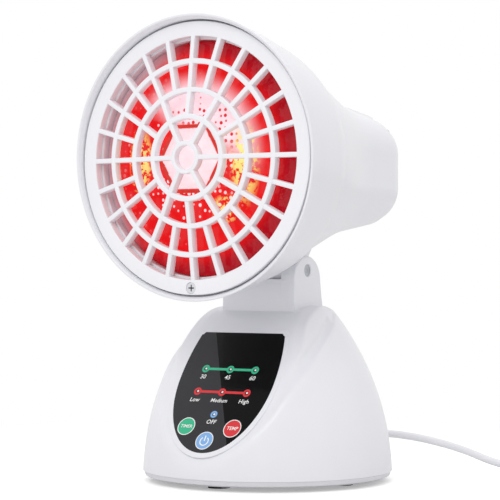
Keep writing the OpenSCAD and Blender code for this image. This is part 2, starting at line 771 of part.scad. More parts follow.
module bulb_reflector() color("#C9CCD2") at_head() rotate_extrude() difference() {
    bowl_side(0);
    bowl_side(2.2);
    translate([0, -60]) square([57, 5]);
    translate([0, 30]) square([12.8, 20]);
}

module bulb_cap() color("#C6C9CE") at_head() {
    translate([0, 0, 46]) cylinder(r1 = 15, r2 = 12.2, h = 1);
    translate([0, 0, 46]) cylinder(r = 12.2, h = 24);
    for (k = [0:5]) translate([0, 0, 49.4 + 3.63 * k]) rotate_extrude()
        translate([cap_r - 0.9, 0]) circle(r = 0.9, $fn = 24);
    translate([0, 0, 70]) cylinder(r1 = 11, r2 = 6, h = 3);
}

module bulb_contact() color("#C2A15A") at_head() translate([0, 0, 73])
    cylinder(r1 = 4.6, r2 = 3.6, h = 2);

module filament_posts() color("#9DA1A8") at_head() for (s = [-1, 1])
    translate([s * 9, 0, -14]) cylinder(r = 0.7, h = 60);

module filament() color("#E8A33A") at_head() {
    translate([-10.4, 0, -14.9]) rotate([0, 90, 0]) cylinder(r = 0.9, h = 20.8);
}

// ---- guard ---------------------------------------------------------------

module ring_at(r, w, y, h) at_head() translate([0, 0, y]) tube(r + w / 2, r - w / 2, h);

module bars(n, r0, y0, r1, y1) at_head() for (k = [0:n - 1]) rotate([90, 0, 360 * k / n])
    linear_extrude(bar_w, center = true)
        polygon([[r0 - 1, y0 + 0.2], [r1 + 1, y1 + 0.2], [r1 + 1, y1 + bar_h], [r0 - 1, y0 + bar_h]]);

module guard() color("#EFEFF3") {
    ring_y = -72.7;
    difference() {
        ring_at((guard_r + guard_open_r) / 2, guard_r - guard_open_r, ring_y,
            flange_y - fit - ring_y);
        at_head() around(lock_a, lock_r) {
            translate([0, 0, -75]) cylinder(r = 1.75, h = 20);
            translate([0, 0, -75]) cylinder(r = 3.2, h = 4.3);
        }
    }
    for (q = rings) ring_at(q[0], ring_w, q[1], bar_h + 0.5);
    ring_at((8.6 + 6.35) / 2, 8.6 - 6.35, -hub_y, bar_h + 0.5);
    bars(24, guard_open_r + 2, ring_y, rings[0][0], rings[0][1]);
    bars(24, rings[0][0], rings[0][1], rings[1][0], rings[1][1]);
    bars(12, rings[1][0], rings[1][1], rings[2][0], rings[2][1]);
    bars(6, rings[2][0], rings[2][1], 6.5, -hub_y);
    at_head() for (a = tabs) intersection() {
        rotate_extrude() {
            translate([guard_open_r + 0.2, flange_y - 1]) square([1.6, 5.7]);
            translate([guard_open_r + 0.2, flange_y + flange_t + fit]) square([5.8, 2.15]);
        }
        translate([0, 0, -80]) linear_extrude(40) wedge(a - tab_a, a + tab_a, 140);
    }
}

module guard_screw() color("#C4C7CC") at_head() around(lock_a, lock_r) difference() {
    union() {
        translate([0, 0, -72.4]) cylinder(r = 3, h = 1.7);
        translate([0, 0, -72.4]) cylinder(r = 1.6, h = 11.4);
    }
    for (a = [0, 90]) rotate([0, 0, a]) translate([-1.7, -0.35, -73]) cube([3.4, 0.7, 1.5]);
}

module guard_nut() color("#B5B8BD") at_head() around(lock_a, lock_r) difference() {
    translate([-2.4, -2.8, flange_y + flange_t + fit]) cube([4.8, 5.6, 2.4]);
    translate([0, 0, -70]) cylinder(r = 1.6, h = 20);
}

// ---- the assembly --------------------------------------------------------

base_shell();
bottom_plate();
rubber_feet();
base_screws();
control_panel();
timer_key();
temp_key();
power_key();
timer_leds();
heat_leds();
off_led();
touch_board();
touch_pads();
touch_screws();
panel_ribbon();
driver_board();
board_screws();
relay();
heatsink();
triac();
filter_capacitor();
fuse();
terminal_block();
buzzer();
ballast_weight();
neck_grommet();
base_lead();
strain_relief();
power_cord();
cord_coil();
cord_tie();
cord_end();
plug_body();
plug_pins();
head_shell();
heat_shield();
rear_cover();
cover_screws();
lamp_holder();
holder_liner();
holder_contact();
holder_bracket();
bracket_screws();
holder_screw();
thermal_cutoff();
head_lead();
pivot_screws();
pivot_inserts();
friction_washers();
bulb_lens();
bulb_reflector();
bulb_cap();
bulb_contact();
filament();
filament_posts();
guard();
guard_screw();
guard_nut();
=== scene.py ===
import json
import math

import bmesh
import bpy
import numpy as np
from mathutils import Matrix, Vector


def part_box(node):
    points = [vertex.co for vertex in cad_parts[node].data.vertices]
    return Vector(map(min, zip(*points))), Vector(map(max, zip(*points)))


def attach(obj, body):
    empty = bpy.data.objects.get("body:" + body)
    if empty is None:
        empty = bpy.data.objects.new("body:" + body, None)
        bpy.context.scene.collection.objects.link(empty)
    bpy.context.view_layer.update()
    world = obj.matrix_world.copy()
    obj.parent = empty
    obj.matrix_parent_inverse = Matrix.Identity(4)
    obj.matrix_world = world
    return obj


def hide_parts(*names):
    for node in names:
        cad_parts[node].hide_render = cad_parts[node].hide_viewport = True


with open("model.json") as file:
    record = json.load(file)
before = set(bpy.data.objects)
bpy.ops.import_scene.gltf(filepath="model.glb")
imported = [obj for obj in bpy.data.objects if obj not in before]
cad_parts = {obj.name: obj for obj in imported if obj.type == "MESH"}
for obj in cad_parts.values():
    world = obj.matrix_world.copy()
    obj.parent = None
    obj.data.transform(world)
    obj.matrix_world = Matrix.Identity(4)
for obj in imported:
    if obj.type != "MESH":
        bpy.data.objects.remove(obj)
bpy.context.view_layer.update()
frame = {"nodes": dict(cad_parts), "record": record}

# Sizes are millimetres in the CAD model's frame, where the dome's axis is x = 0, y = shiftY.
shiftY = -8.0
slope = {"angle": math.radians(55.7), "z": 116.15, "crestRadius": 35.0, "crestV": 41.8}
head = {"z": 175.2, "lipSlope": 0.0329, "lipStart": -66.0, "lipBlend": 8.0}
view = {"camera": (0.59339, -0.93427, 0.1189), "azimuth": 33.15, "elevation": -0.44, "lens": 142.56}
colours = {"shell": "#E9E9EE", "guard": "#F0F0F4", "plate": "#E3E3E8", "panel": "#0B0B0C",
           "green": "#2DB588", "red": "#D8232B", "blue": "#7FB0E6", "ink": "#F4F4F2",
           "cord": "#E9E9ED", "foot": "#2A2A2C"}


def toLinear(code):
    out = []
    for k in (1, 3, 5):
        c = int(code[k:k + 2], 16) / 255
        out.append(c / 12.92 if c <= 0.04045 else ((c + 0.055) / 1.055) ** 2.4)
    return (*out, 1.0)


# the photographer's view
camData = bpy.data.cameras.new("camera")
camData.lens = view["lens"]
camData.sensor_width = 36
camData.clip_start = 0.05
camera = bpy.data.objects.new("camera", camData)
bpy.context.scene.collection.objects.link(camera)
azimuth, elevation = math.radians(view["azimuth"]), math.radians(view["elevation"])
look = Vector((-math.sin(azimuth) * math.cos(elevation), math.cos(azimuth) * math.cos(elevation),
               -math.sin(elevation)))
camera.location = view["camera"]
camera.rotation_mode = "QUATERNION"
camera.rotation_quaternion = look.to_track_quat("-Z", "Y")
bpy.context.scene.camera = camera


def addNode(tree, kind, inputs=None, **settings):
    made = tree.nodes.new(kind)
    for name, value in settings.items():
        setattr(made, name, value)
    for key, value in (inputs or {}).items():
        if isinstance(value, bpy.types.NodeSocket):
            tree.links.new(value, made.inputs[key])
        else:
            made.inputs[key].default_value = value
    return made


def mathNode(tree, operation, *values, clamp=False):
    made = addNode(tree, "ShaderNodeMath", dict(enumerate(values)), operation=operation)
    made.use_clamp = clamp
    return made.outputs[0]


def mixColour(tree, factor, a, b, blend="MIX"):
    made = addNode(tree, "ShaderNodeMix", {"Factor": factor}, data_type="RGBA", blend_type=blend)
    for socket, value in ((made.inputs[6], a), (made.inputs[7], b)):
        if isinstance(value, bpy.types.NodeSocket):
            tree.links.new(value, socket)
        else:
            socket.default_value = value
    return made.outputs[2]


def smoothStep(tree, value, low, high):
    return addNode(tree, "ShaderNodeMapRange", {0: value, 1: low, 2: high, 3: 0.0, 4: 1.0},
                   interpolation_type="SMOOTHSTEP").outputs[0]


def newMaterial(name):
    made = bpy.data.materials.new(name)
    made.use_nodes = True
    tree = made.node_tree
    return made, tree, tree.nodes["Principled BSDF"]


# one moulded, printed or drawn finish: a fine grain in millimetres, faint colour drift, worn gloss
def grainMaterial(name, code, roughness, grain=0.4, depth=0.012, drift=0.04, metallic=0.0,
                  coat=0.0, specular=0.5):
    made, tree, shader = newMaterial(name)
    where = addNode(tree, "ShaderNodeTexCoord").outputs["Object"]
    fine = addNode(tree, "ShaderNodeTexNoise", {"Vector": where, "Scale": 1000 / grain,
                                                "Detail": 2.0}).outputs["Fac"]
    broad = addNode(tree, "ShaderNodeTexNoise", {"Vector": where, "Scale": 28.0,
                                                 "Detail": 3.0}).outputs["Fac"]
    base = toLinear(code)
    dark = tuple(c * (1 - drift) for c in base[:3]) + (1.0,)
    tree.links.new(mixColour(tree, broad, dark, base), shader.inputs["Base Color"])
    rough = mathNode(tree, "MULTIPLY_ADD", broad, 0.10, roughness - 0.05)
    tree.links.new(rough, shader.inputs["Roughness"])
    bump = addNode(tree, "ShaderNodeBump", {"Height": fine, "Strength": 0.35,
                                            "Distance": depth / 1000})
    tree.links.new(bump.outputs[0], shader.inputs["Normal"])
    shader.inputs["Metallic"].default_value = metallic
    shader.inputs["Specular IOR Level"].default_value = specular
    if coat:
        shader.inputs["Coat Weight"].default_value = coat
        shader.inputs["Coat Roughness"].default_value = 0.08
    return made


materials = {
    # injection-moulded ABS off a fine-textured tool: a soft sheen with a faint clear skin
    "shell": grainMaterial("moulded_abs_satin", colours["shell"], 0.34, coat=0.15),
    "guard": grainMaterial("moulded_nylon_white", colours["guard"], 0.38),  # a little flatter
    "plate": grainMaterial("moulded_abs_matt", colours["plate"], 0.5),  # hardly any highlight
    "foot": grainMaterial("moulded_rubber", colours["foot"], 0.8, grain=0.7),  # dull and dark
    "cord": grainMaterial("extruded_pvc_sheath", colours["cord"], 0.42, grain=0.6),  # waxy
    "panel": grainMaterial("cast_acrylic_black", colours["panel"], 0.09, depth=0.001, coat=0.6),
    # screen-printed inks under the panel's gloss: flat colour, hardly any grain
    "green": grainMaterial("printed_green", colours["green"], 0.25, depth=0.002),
    "red": grainMaterial("printed_red", colours["red"], 0.25, depth=0.002),
    "blue": grainMaterial("printed_blue", colours["blue"], 0.25, depth=0.002),
    "ink": grainMaterial("printed_white", colours["ink"], 0.3, depth=0.002),
    "steel": grainMaterial("zinc_plated_steel", "#B9BBC0", 0.35, metallic=1.0),
    "brass": grainMaterial("drawn_brass", "#CDA562", 0.28, metallic=1.0),
    # a darker grey for the pivot caps deep in their recesses: painted shade
    "recess": grainMaterial("pivot_recess_shade_grey", "#B4B6BD", 0.5),
}

slotLooks = {
    "white_plastic": "shell", "grey_plastic": "plate", "foot_rubber": "foot",
    "panel_black": "panel", "key_green": "green", "key_red": "red", "key_blue": "blue",
    "led_lens": "ink", "steel_screw": "steel", "cord_white": "cord", "brass": "brass",
}
# the hidden pieces: name, colour, roughness, metallic
nodeLooks = {
    "board_green": ("solder_mask", "#1B5E3A", 0.35, 0.0),
    "ribbon_grey": ("cable_skin", "#A9ABB3", 0.5, 0.0),
    "relay_blue": ("relay_case", "#1F4A8C", 0.4, 0.0),
    "aluminium": ("mill_aluminium", "#C3C6CB", 0.32, 1.0),
    "black_plastic": ("moulded_black", "#161618", 0.45, 0.0),
    "capacitor_yellow": ("capacitor_case", "#B98F2C", 0.4, 0.0),
    "fuse_glass": ("fuse_glass", "#DDE3EA", 0.1, 0.0),
    "ballast_iron": ("cast_iron", "#5C5F63", 0.6, 0.9),
    "ceramic": ("glazed_ceramic", "#EFEBE0", 0.2, 0.0),
    "cap_metal": ("pressed_cap", "#C9CBD0", 0.25, 1.0),
    "washer_fibre": ("friction_fibre", "#48484C", 0.75, 0.0),
    "ruby_glass": ("ruby_glass_plain", "#A10F18", 0.12, 0.0),
    "filament_wire": ("drawn_wire", "#9D9A92", 0.4, 1.0),
}
for slotName, (label, code, roughness, metallic) in nodeLooks.items():
    materials[slotName] = grainMaterial(label, code, roughness, metallic=metallic)
    slotLooks[slotName] = slotName
nodeSlot = {s["node"]: s["material_slot"] for s in frame["record"]["subparts"]}
for name, obj in frame["nodes"].items():
    for place in obj.material_slots:
        place.material = materials[slotLooks[nodeSlot[name]]]
print("stage: camera and materials")


# a mesh object from corners in millimetres; merge closes its poles and seams
def bareObject(name, verts, faces, look="shell", merge=False):
    mesh = bpy.data.meshes.new(name)
    mesh.from_pydata([tuple(0.001 * c for c in v) for v in verts], [], faces)
    work = bmesh.new()
    work.from_mesh(mesh)
    if merge:
        bmesh.ops.remove_doubles(work, verts=work.verts, dist=2e-6)
    bmesh.ops.recalc_face_normals(work, faces=work.faces)
    work.to_mesh(mesh)
    work.free()
    mesh.materials.append(materials[look] if isinstance(look, str) else look)
    made = bpy.data.objects.new(name, mesh)
    bpy.context.scene.collection.objects.link(made)
    return made


def makePiece(name, verts, faces, look, body, smooth=True, replaces=(), slot=None):
    return finishPiece(bareObject(name, verts, faces, look, True), body, smooth, replaces)


def finishPiece(made, body, smooth=True, replaces=()):
    if smooth:
        made.data.shade_smooth()
        made.data.set_sharp_from_angle(angle=math.radians(35))
    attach(made, body)
    if replaces:
        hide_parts(*replaces)
    return made


def applyModifiers(obj):
    graph = bpy.context.evaluated_depsgraph_get()
    fresh = bpy.data.meshes.new_from_object(obj.evaluated_get(graph))
    obj.modifiers.clear()
    obj.data = fresh
    return obj


def cutOut(obj, cutter):
    step = obj.modifiers.new("cut", "BOOLEAN")
    step.operation = "DIFFERENCE"
    step.solver = "EXACT"
    step.object = cutter
    applyModifiers(obj)
    bpy.data.objects.remove(cutter)
    return obj


# rings of equally many points, joined in order
def loft(rings, capStart=False, capEnd=False, closed=True):
    count = len(rings[0])
    verts = [p for ring in rings for p in ring]
    faces = []
    for i in range(len(rings) - 1):
        for k in range(count if closed else count - 1):
            a, b = i * count + k, i * count + (k + 1) % count
            faces.append((a, b, b + count, a + count))
    if capStart:
        faces.append(tuple(range(count - 1, -1, -1)))
    if capEnd:
        faces.append(tuple((len(rings) - 1) * count + k for k in range(count)))
    return verts, faces


# the corners and faces of a worked bmesh
def listed(work):
    work.verts.index_update()
    out = [tuple(v.co) for v in work.verts], [tuple(v.index for v in f.verts) for f in work.faces]
    work.free()
    return out


# a chain of corners spun once round an axis
def spun(chain, centre, axis, segments, closed=False, capped=False):
    work = bmesh.new()
    corners = [work.verts.new(p) for p in chain]
    following = corners[1:] + (corners[:1] if closed else [])
    links = [work.edges.new(pair) for pair in zip(corners, following)]
    bmesh.ops.spin(work, geom=corners + links, cent=centre, axis=axis, angle=2 * math.pi,
                   steps=segments, use_merge=True)
    if capped:
        bmesh.ops.edgeloop_fill(work, edges=[e for e in work.edges if e.is_boundary])
    return listed(work)


# a profile of (radius, y) pairs spun about the head's axis
def turned(profile, segments=160):
    chain = [(r, y + shiftY, head["z"]) for r, y in profile]
    return spun(chain, (0, 0, head["z"]), (0, 1, 0), segments, closed=True)


# the same about a line along y through (x, z), with both ends filled
def alongY(profile, x, z, segments=40):
    return spun([(x + r, y, z) for r, y in profile], (x, 0, z), (0, 1, 0), segments, capped=True)


# the head's mouth leans: its front planes tip with height
def lipShear(y):
    return head["lipSlope"] * soften((head["lipStart"] - y) / head["lipBlend"])


# a flat outline extruded along a vector, its far rim or both rims bevelled
def extruded(outline, along, bevel=0.0, both=False, segments=4):
    work = bmesh.new()
    base = work.faces.new([work.verts.new(p) for p in outline])
    out = bmesh.ops.extrude_face_region(work, geom=[base])
    lid = [g for g in out["geom"] if isinstance(g, bmesh.types.BMVert)]
    bmesh.ops.translate(work, verts=lid, vec=along)
    bmesh.ops.recalc_face_normals(work, faces=work.faces)
    if bevel:
        far = set(lid)
        inLid = {e: sum(v in far for v in e.verts) for e in work.edges}
        rims = [e for e in work.edges if inLid[e] == 2 or both and inLid[e] == 0]
        bmesh.ops.bevel(work, geom=rims, offset=bevel, segments=segments, profile=0.5,
                        affect="EDGES", material=-1, clamp_overlap=True)
    return listed(work)


# an extrusion between two heights of a place function
def prism(outline, place, low, high, bevel=0.0, both=False, segments=4):
    along = Vector(place(0, 0, high)) - Vector(place(0, 0, low))
    return extruded([place(u, v, low) for u, v in outline], along, bevel, both, segments)


def circlePoints(radius, sides, u=0.0, v=0.0):
    turns = [2 * math.pi * k / sides for k in range(sides)]
    return [(u + radius * math.cos(a), v + radius * math.sin(a)) for a in turns]


def soften(x):
    q = min(max(x, 0.0), 1.0)
    return q * q * (3 - 2 * q)


def joinParts(parts):
    verts, faces = [], []
    for v, f in parts:
        start = len(verts)
        verts += v
        faces += [tuple(k + start for k in face) for face in f]
    return verts, faces


# the free run of the cord, from inside the base to the start of its coil
cordRoute = [(0, 66, 20), (0, 73, 20), (3, 80, 20), (9, 86, 19.8), (17, 90, 19.5), (26, 93, 19),
             (37, 98, 17.3), (48, 103, 14.7), (57, 107, 12), (66, 110.5, 8.8), (74, 113.5, 5.4),
             (82, 116, 3), (90, 117.5, 2.2), (100, 118, 2.2), (112, 118, 2.2), (125, 118, 2.4),
             (138, 118, 2.9), (150, 118, 3)]
cord = {"radius": 2.2, "coil": (150.0, 82.0), "outer": 36.0, "loops": 4, "pitch": 5.1,
        "dip": 2.0, "layer": 4.9, "floor": 3.0, "exitZ": 20.0, "step": 7.5}


# a smooth curve through the points, kept on the table
def throughPoints(points, pieces):
    p = [np.array(q, float) for q in points]
    out = []
    for i in range(len(p) - 1):
        a, b, c, d = p[max(i - 1, 0)], p[i], p[i + 1], p[min(i + 2, len(p) - 1)]
        for j in range(pieces):
            t = j / pieces
            v = 0.5 * (2 * b + (c - a) * t + (2 * a - 5 * b + 4 * c - d) * t * t
                       + (3 * b - a - 3 * c + d) * t ** 3)
            v[2] = max(v[2], cord["radius"])
            out.append(v)
    return out + [p[-1]]


def coilPoint(a):
    down, up = 360 * cord["loops"], 360 * cord["loops"] - 90
    inner = cord["outer"] - cord["loops"] * cord["pitch"]
    if a < down:
        r = cord["outer"] - cord["pitch"] * a / 360
    elif a < down + 180:
        r = inner - cord["dip"] * soften((a - down) / 90)
    else:
        r = inner - cord["dip"] + (cord["outer"] - inner + cord["dip"]) * (a - down - 180) / up
    t = math.radians(90 - a)
    return np.array((cord["coil"][0] + r * math.cos(t), cord["coil"][1] + r * math.sin(t),
                     cord["floor"] + cord["layer"] * soften((a - down) / 180)))


# down the outer layer inwards, up through the middle, and out again on top
coilTurn = 720 * cord["loops"] + 90
endX = cord["coil"][0] + cord["outer"]
endRoute = [(endX, y, z) for y, z in ((82, 7.9), (72, 7.9), (62, 7.9), (52, 8), (44, 8), (36, 8))]
cordLine = (throughPoints(cordRoute, 4)[:-1]
            + [coilPoint(a) for a in np.arange(0, coilTurn, cord["step"])]
            + throughPoints(endRoute, 3))


def tubeCurve(name, points, radius, look):
    data = bpy.data.curves.new(name, "CURVE")
    data.dimensions = "3D"
    spline = data.splines.new("POLY")
    spline.points.add(len(points) - 1)
    for k, p in enumerate(points):
        spline.points[k].co = (*(0.001 * c for c in p), 1)
    data.bevel_depth = radius / 1000
    data.bevel_resolution = 5
    data.use_fill_caps = True
    data.materials.append(materials[look])
    made = bpy.data.objects.new(name, data)
    bpy.context.scene.collection.objects.link(made)
    return made


mainsCord = tubeCurve("mains_cord", cordLine, cord["radius"], "cord")
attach(mainsCord, "base")
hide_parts("power_cord", "cord_coil", "cord_end")
insideRun = [(0, y, cord["exitZ"]) for y in (0.6, 20, 45, 65.9)]
innerCord = tubeCurve("inner_cord", insideRun, cord["radius"], "cord")
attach(innerCord, "base")

# the boots are rows of soft rings that get thinner towards the cord
boot = {"start": 58.0, "rings": 5, "pitch": 2.3, "radius": 5.3, "thin": 0.36, "groove": 0.55}
plug = {"y": 4.4, "end": 27.6, "halfWidth": 10.6, "halfHeight": 7.8, "z": 8.0, "round": 1.5,
        "rings": 4, "pitch": 2.2, "radius": 3.6, "grow": 0.3, "groove": 0.5}
bootChain = [(2.3, boot["start"]), (5.4, boot["start"]), (5.6, 59.0), (5.5, 60.2)]
for k in range(boot["rings"]):
    y0, r0 = 60.6 + boot["pitch"] * k, boot["radius"] - boot["thin"] * k
    bootChain += [(r0 - boot["groove"], y0), (r0 - boot["groove"], y0 + 0.7), (r0, y0 + 0.9),
                  (r0 - 0.05, y0 + 2.0)]
bootChain += [(3.3, 72.2), (2.9, 72.8), (2.3, 72.9)]
relief = makePiece("strain_boot", *alongY(bootChain, 0, cord["exitZ"]), "cord", "base",
                   replaces=("strain_relief",), slot="cord_white")

plugChain = [(3.0, 38.0), (3.4, 37.6), (3.5, 36.6)]
for k in range(plug["rings"]):
    y0, r0 = 36.2 - plug["pitch"] * k, plug["radius"] + plug["grow"] * k
    plugChain += [(r0 - plug["groove"], y0), (r0 - plug["groove"], y0 - 0.7), (r0, y0 - 0.9),
                  (r0 + 0.1, y0 - 2.0)]
plugChain += [(5.0, 26.8), (5.4, 25.9)]


def plugPlace(u, v, y):
    return (endX + u, y, plug["z"] + v)


# a rounded block: the powers flatten the sides of an ellipse
plugOutline = []
for c, s in circlePoints(1.0, 48):
    plugOutline.append((plug["halfWidth"] * math.copysign(abs(c) ** 0.55, c),
                        plug["halfHeight"] * math.copysign(abs(s) ** 0.6, s)))
plugParts = [alongY(plugChain, endX, plug["z"]),
             prism(plugOutline, plugPlace, plug["y"], plug["end"], plug["round"], both=True)]
plugBody = makePiece("plug_moulding", *joinParts(plugParts), "cord", "base",
                     replaces=("plug_body",), slot="cord_white")


# The base: a dome of one arc, a cowl over its back and a sloping face in front.
dome = {"radius": 69.1, "arc": 152.0, "crown": 97.5, "shoulder": 9.0, "seam": 6.0, "step": 1.5,
        "centreZ": 35.0, "nearest": 25.0, "farthest": 95.0, "halvings": 34, "smoothing": 4}
cowl = {"radius": 154.8, "y": 72.2, "z": -51.0, "ridge": 2.2}
fold = {"face": 1.6, "pocket": 0.8, "lip": 0.9, "valley": 1.2, "fadeFrom": 2.0, "fadeOver": 8.0}


# signed distances in millimetres: below zero is inside
def domeDistance(r, z, inset, crown):
    reach = dome["arc"] - inset - dome["shoulder"]
    centreX = dome["radius"] - dome["arc"]
    shoulderZ = crown - dome["shoulder"]
    shoulderX = centreX + math.sqrt(reach ** 2 - shoulderZ ** 2)
    side = np.hypot(r - centreX, z) - (dome["arc"] - inset)
    dx, dz = r - shoulderX, z - shoulderZ
    normal = np.array((shoulderX - centreX, shoulderZ)) / reach
    onRound = (dx > 0) & (dx * normal[1] - dz * normal[0] < 0) & (dz > 0)
    out = np.where(onRound, np.hypot(dx, dz) - dome["shoulder"], side)
    return np.where(dx <= 0, np.maximum(z - crown, side), out)


def smoothMax(a, b, k):
    h = np.clip(0.5 + 0.5 * (a - b) / k, 0, 1)
    return b + (a - b) * h + k * h * (1 - h)


def faceDistance(y, z):
    c, s = math.cos(slope["angle"]), math.sin(slope["angle"])
    v = y * c + (z - slope["z"]) * s
    t = -y * s + (z - slope["z"]) * c
    r = slope["crestRadius"]
    crest = np.hypot(v + slope["crestV"], t + r) - r
    backY, upZ = -slope["crestV"] * c + r * s, slope["z"] - slope["crestV"] * s - r * c
    past = (v > -slope["crestV"]) & (y > backY) & (z < upZ)
    return np.where(v < -slope["crestV"], t, np.where(past, -5.0, crest))


def baseDistance(x, y, z):
    r = np.hypot(x, y)
    outer = domeDistance(r, z, 0.0, dome["crown"])
    edge = np.hypot(y - cowl["y"], z - cowl["z"]) - cowl["radius"]
    inset = domeDistance(r, z, dome["step"], dome["crown"] - 0.5)
    front = faceDistance(y, z)
    face = smoothMax(inset, front, fold["face"])
    hood = smoothMax(outer, edge, cowl["ridge"])
    behind = np.clip((y - fold["fadeFrom"]) / fold["fadeOver"], 0, 1)
    pocket = smoothMax(inset + 0.2, -front, fold["pocket"]) + 9 * behind
    hood = smoothMax(hood, -pocket, fold["lip"])
    solid = np.minimum(hood, face)
    valley = np.hypot(edge - 1.5, inset + 0.3) - 1.5
    valley = np.minimum(valley, np.hypot(front - 0.5, inset + 1.5) - 1.3)
    return smoothMax(solid, -valley - 6 * behind, fold["valley"])


# the skin is found along rays from inside, by halving, then its folds are eased
def baseSkin(turns=360, rows=200):
    theta = np.arange(turns) * 2 * math.pi / turns
    middle = dome["centreZ"]
    low = math.atan2(dome["seam"] - middle, 69.0)
    phi = np.linspace(low, math.pi / 2, rows)
    t, p = np.meshgrid(theta, phi)
    dx, dy, dz = np.cos(p) * np.cos(t), np.cos(p) * np.sin(t), np.sin(p)
    near, far = np.full(t.shape, dome["nearest"]), np.full(t.shape, dome["farthest"])
    for _ in range(dome["halvings"]):
        mid = (near + far) / 2
        inside = baseDistance(mid * dx, mid * dy, middle + mid * dz) < 0
        near, far = np.where(inside, mid, near), np.where(inside, far, mid)
    for _ in range(dome["smoothing"]):
        near[1:-1] = (2 * near[1:-1] + near[:-2] + near[2:] + np.roll(near, 1, 1)[1:-1]
                      + np.roll(near, -1, 1)[1:-1]) / 6
    x, y, z = near * dx, near * dy, middle + near * dz
    rings = [[(x[i, k], y[i, k] + shiftY, z[i, k]) for k in range(turns)] for i in range(rows)]
    # the lower edge turns in over the seam
    hem = [(0.993, 5.7), (0.985, 5.65), (0.972, 5.7), (0.966, 6.2), (0.966, 8.0)]
    under = [[(x[0, k] * s, y[0, k] * s + shiftY, h) for k in range(turns)] for s, h in hem]
    return loft(under[::-1] + rings)


makePiece("dome_skin", *baseSkin(), "shell", "base", replaces=("base_shell",),
          slot="white_plastic")
print("stage: dome")


# The neck: two ears joined in front by a web, with a round recess over each pivot screw.
neck = {"halfWidth": 23.5, "ear": 8.9, "round": 14.0, "roundZ": 110.0, "pivotY": 4.5,
        "pivotZ": 116.0, "frontTop": 111.4, "rim": 1.5, "corner": 3.2, "soft": 0.6,
        "recess": 3.75, "foot": 86.0}


def earOutline():
    y0, y1 = neck["pivotY"] - neck["round"], neck["pivotY"] + neck["round"]
    points = [(y0, neck["foot"]), (y0, neck["roundZ"])]
    for k in range(1, 36):
        a = math.pi - math.pi * k / 36
        points.append((neck["pivotY"] + neck["round"] * math.cos(a),
                       neck["roundZ"] + neck["round"] * math.sin(a)))
    return points + [(y1, neck["roundZ"]), (y1 + 1.0, 103.5), (y1 + 2.6, 95.0),
                     (y1 + 3.6, neck["foot"])]


def bevelEdges(work, edges, offset, segments):
    bmesh.ops.bevel(work, geom=edges, offset=offset, segments=segments, profile=0.5,
                    affect="EDGES", material=-1, clamp_overlap=True)


def makeEar(side):
    outer = side * neck["halfWidth"]
    inner = side * (neck["halfWidth"] - neck["ear"])
    outline = earOutline()
    frontY = outline[0][0] + shiftY
    work = bmesh.new()
    base = work.faces.new([work.verts.new((inner, u + shiftY, v)) for u, v in outline])
    out = bmesh.ops.extrude_face_region(work, geom=[base])
    lid = [g for g in out["geom"] if isinstance(g, bmesh.types.BMVert)]
    bmesh.ops.translate(work, verts=lid, vec=(outer - inner, 0, 0))
    bmesh.ops.recalc_face_normals(work, faces=work.faces)

    def lies(edge, x):
        return all(abs(v.co.x - x) < 1e-4 for v in edge.verts)

    flat = [e for e in work.edges if lies(e, outer)
            and not all(abs(v.co.y - frontY) < 1e-4 for v in e.verts)
            and not all(v.co.z < neck["foot"] + 0.5 for v in e.verts)]
    bevelEdges(work, flat, neck["rim"], 4)
    corner = [e for e in work.edges if e.calc_face_angle(0) > 1.2
              and all(v.co.y < frontY + 0.01 for v in e.verts)
              and all(abs(v.co.x) > neck["halfWidth"] - 2.5 for v in e.verts)
              and abs(e.verts[0].co.z - e.verts[1].co.z) > 5]
    bevelEdges(work, corner, neck["corner"], 6)
    rim = [e for e in work.edges if lies(e, inner)
           and all(v.co.z > neck["frontTop"] - 2 for v in e.verts)]
    bevelEdges(work, rim, neck["soft"], 3)
    ear = bareObject("ear_" + ("right" if side > 0 else "left"), *listed(work))
    chain = [(side * (neck["halfWidth"] + w), neck["pivotY"] + shiftY + r, neck["pivotZ"])
             for w, r in ((-3, 3.35), (-0.35, 3.4), (0, neck["recess"]), (3, neck["recess"]))]
    cutter = spun(chain, (0, neck["pivotY"] + shiftY, neck["pivotZ"]), (1, 0, 0), 48, capped=True)
    return cutOut(ear, bareObject("cutter", *cutter))


ears = [makeEar(side) for side in (-1, 1)]
# the web's front and foot lie a hair inside the ears', so that the union has no shared plane
webHalf = neck["halfWidth"] - neck["ear"] + 4.0
webFront = neck["pivotY"] - neck["round"] + 0.01
webFoot = neck["foot"] + 0.01
webOutline = [(webFront, webFoot), (webFront, 110.9), (webFront + 0.15, 111.25),
              (webFront + 0.5, neck["frontTop"]), (webFront + 1.6, neck["frontTop"]),
              (webFront + 2, 111.0), (webFront + 2, webFoot)]
neckFront = bareObject("neck_front", *prism(webOutline, lambda u, v, q: (q, u + shiftY, v),
                                            -webHalf, webHalf))
for ear in ears:
    step = neckFront.modifiers.new("join", "BOOLEAN")
    step.operation = "UNION"
    step.solver = "EXACT"
    step.object = ear
    applyModifiers(neckFront)
    bpy.data.objects.remove(ear)
finishPiece(neckFront, "base")
for side in (-1, 1):
    x0, x1 = side * (neck["halfWidth"] - 1.5), side * (neck["halfWidth"] - 0.9)
    chain = [(x, neck["pivotY"] + shiftY + r, neck["pivotZ"])
             for x, r in ((x0, 3.2), (x1 - side * 0.15, 3.2), (x1, 3.05), (x1, 0.01))]
    # the caps take the darker grey, painted shade of their recesses
    makePiece("pivot_cap_" + ("right" if side > 0 else "left"),
              *spun(chain, (0, neck["pivotY"] + shiftY, neck["pivotZ"]), (1, 0, 0), 48),
              "recess", "base")
print("stage: neck")


# The panel: (u, v) runs along the sloping face from its top, and t stands out from it.
plate = {"halfWidth": 30.5, "v": 71.5, "low": 45.2, "high": 60.0, "top": 41.5, "bezel": 2.8}


def onPanel(u, v, t):
    c, s = math.cos(slope["angle"]), math.sin(slope["angle"])
    return (u, v * c - t * s + shiftY, slope["z"] + v * s + t * c)


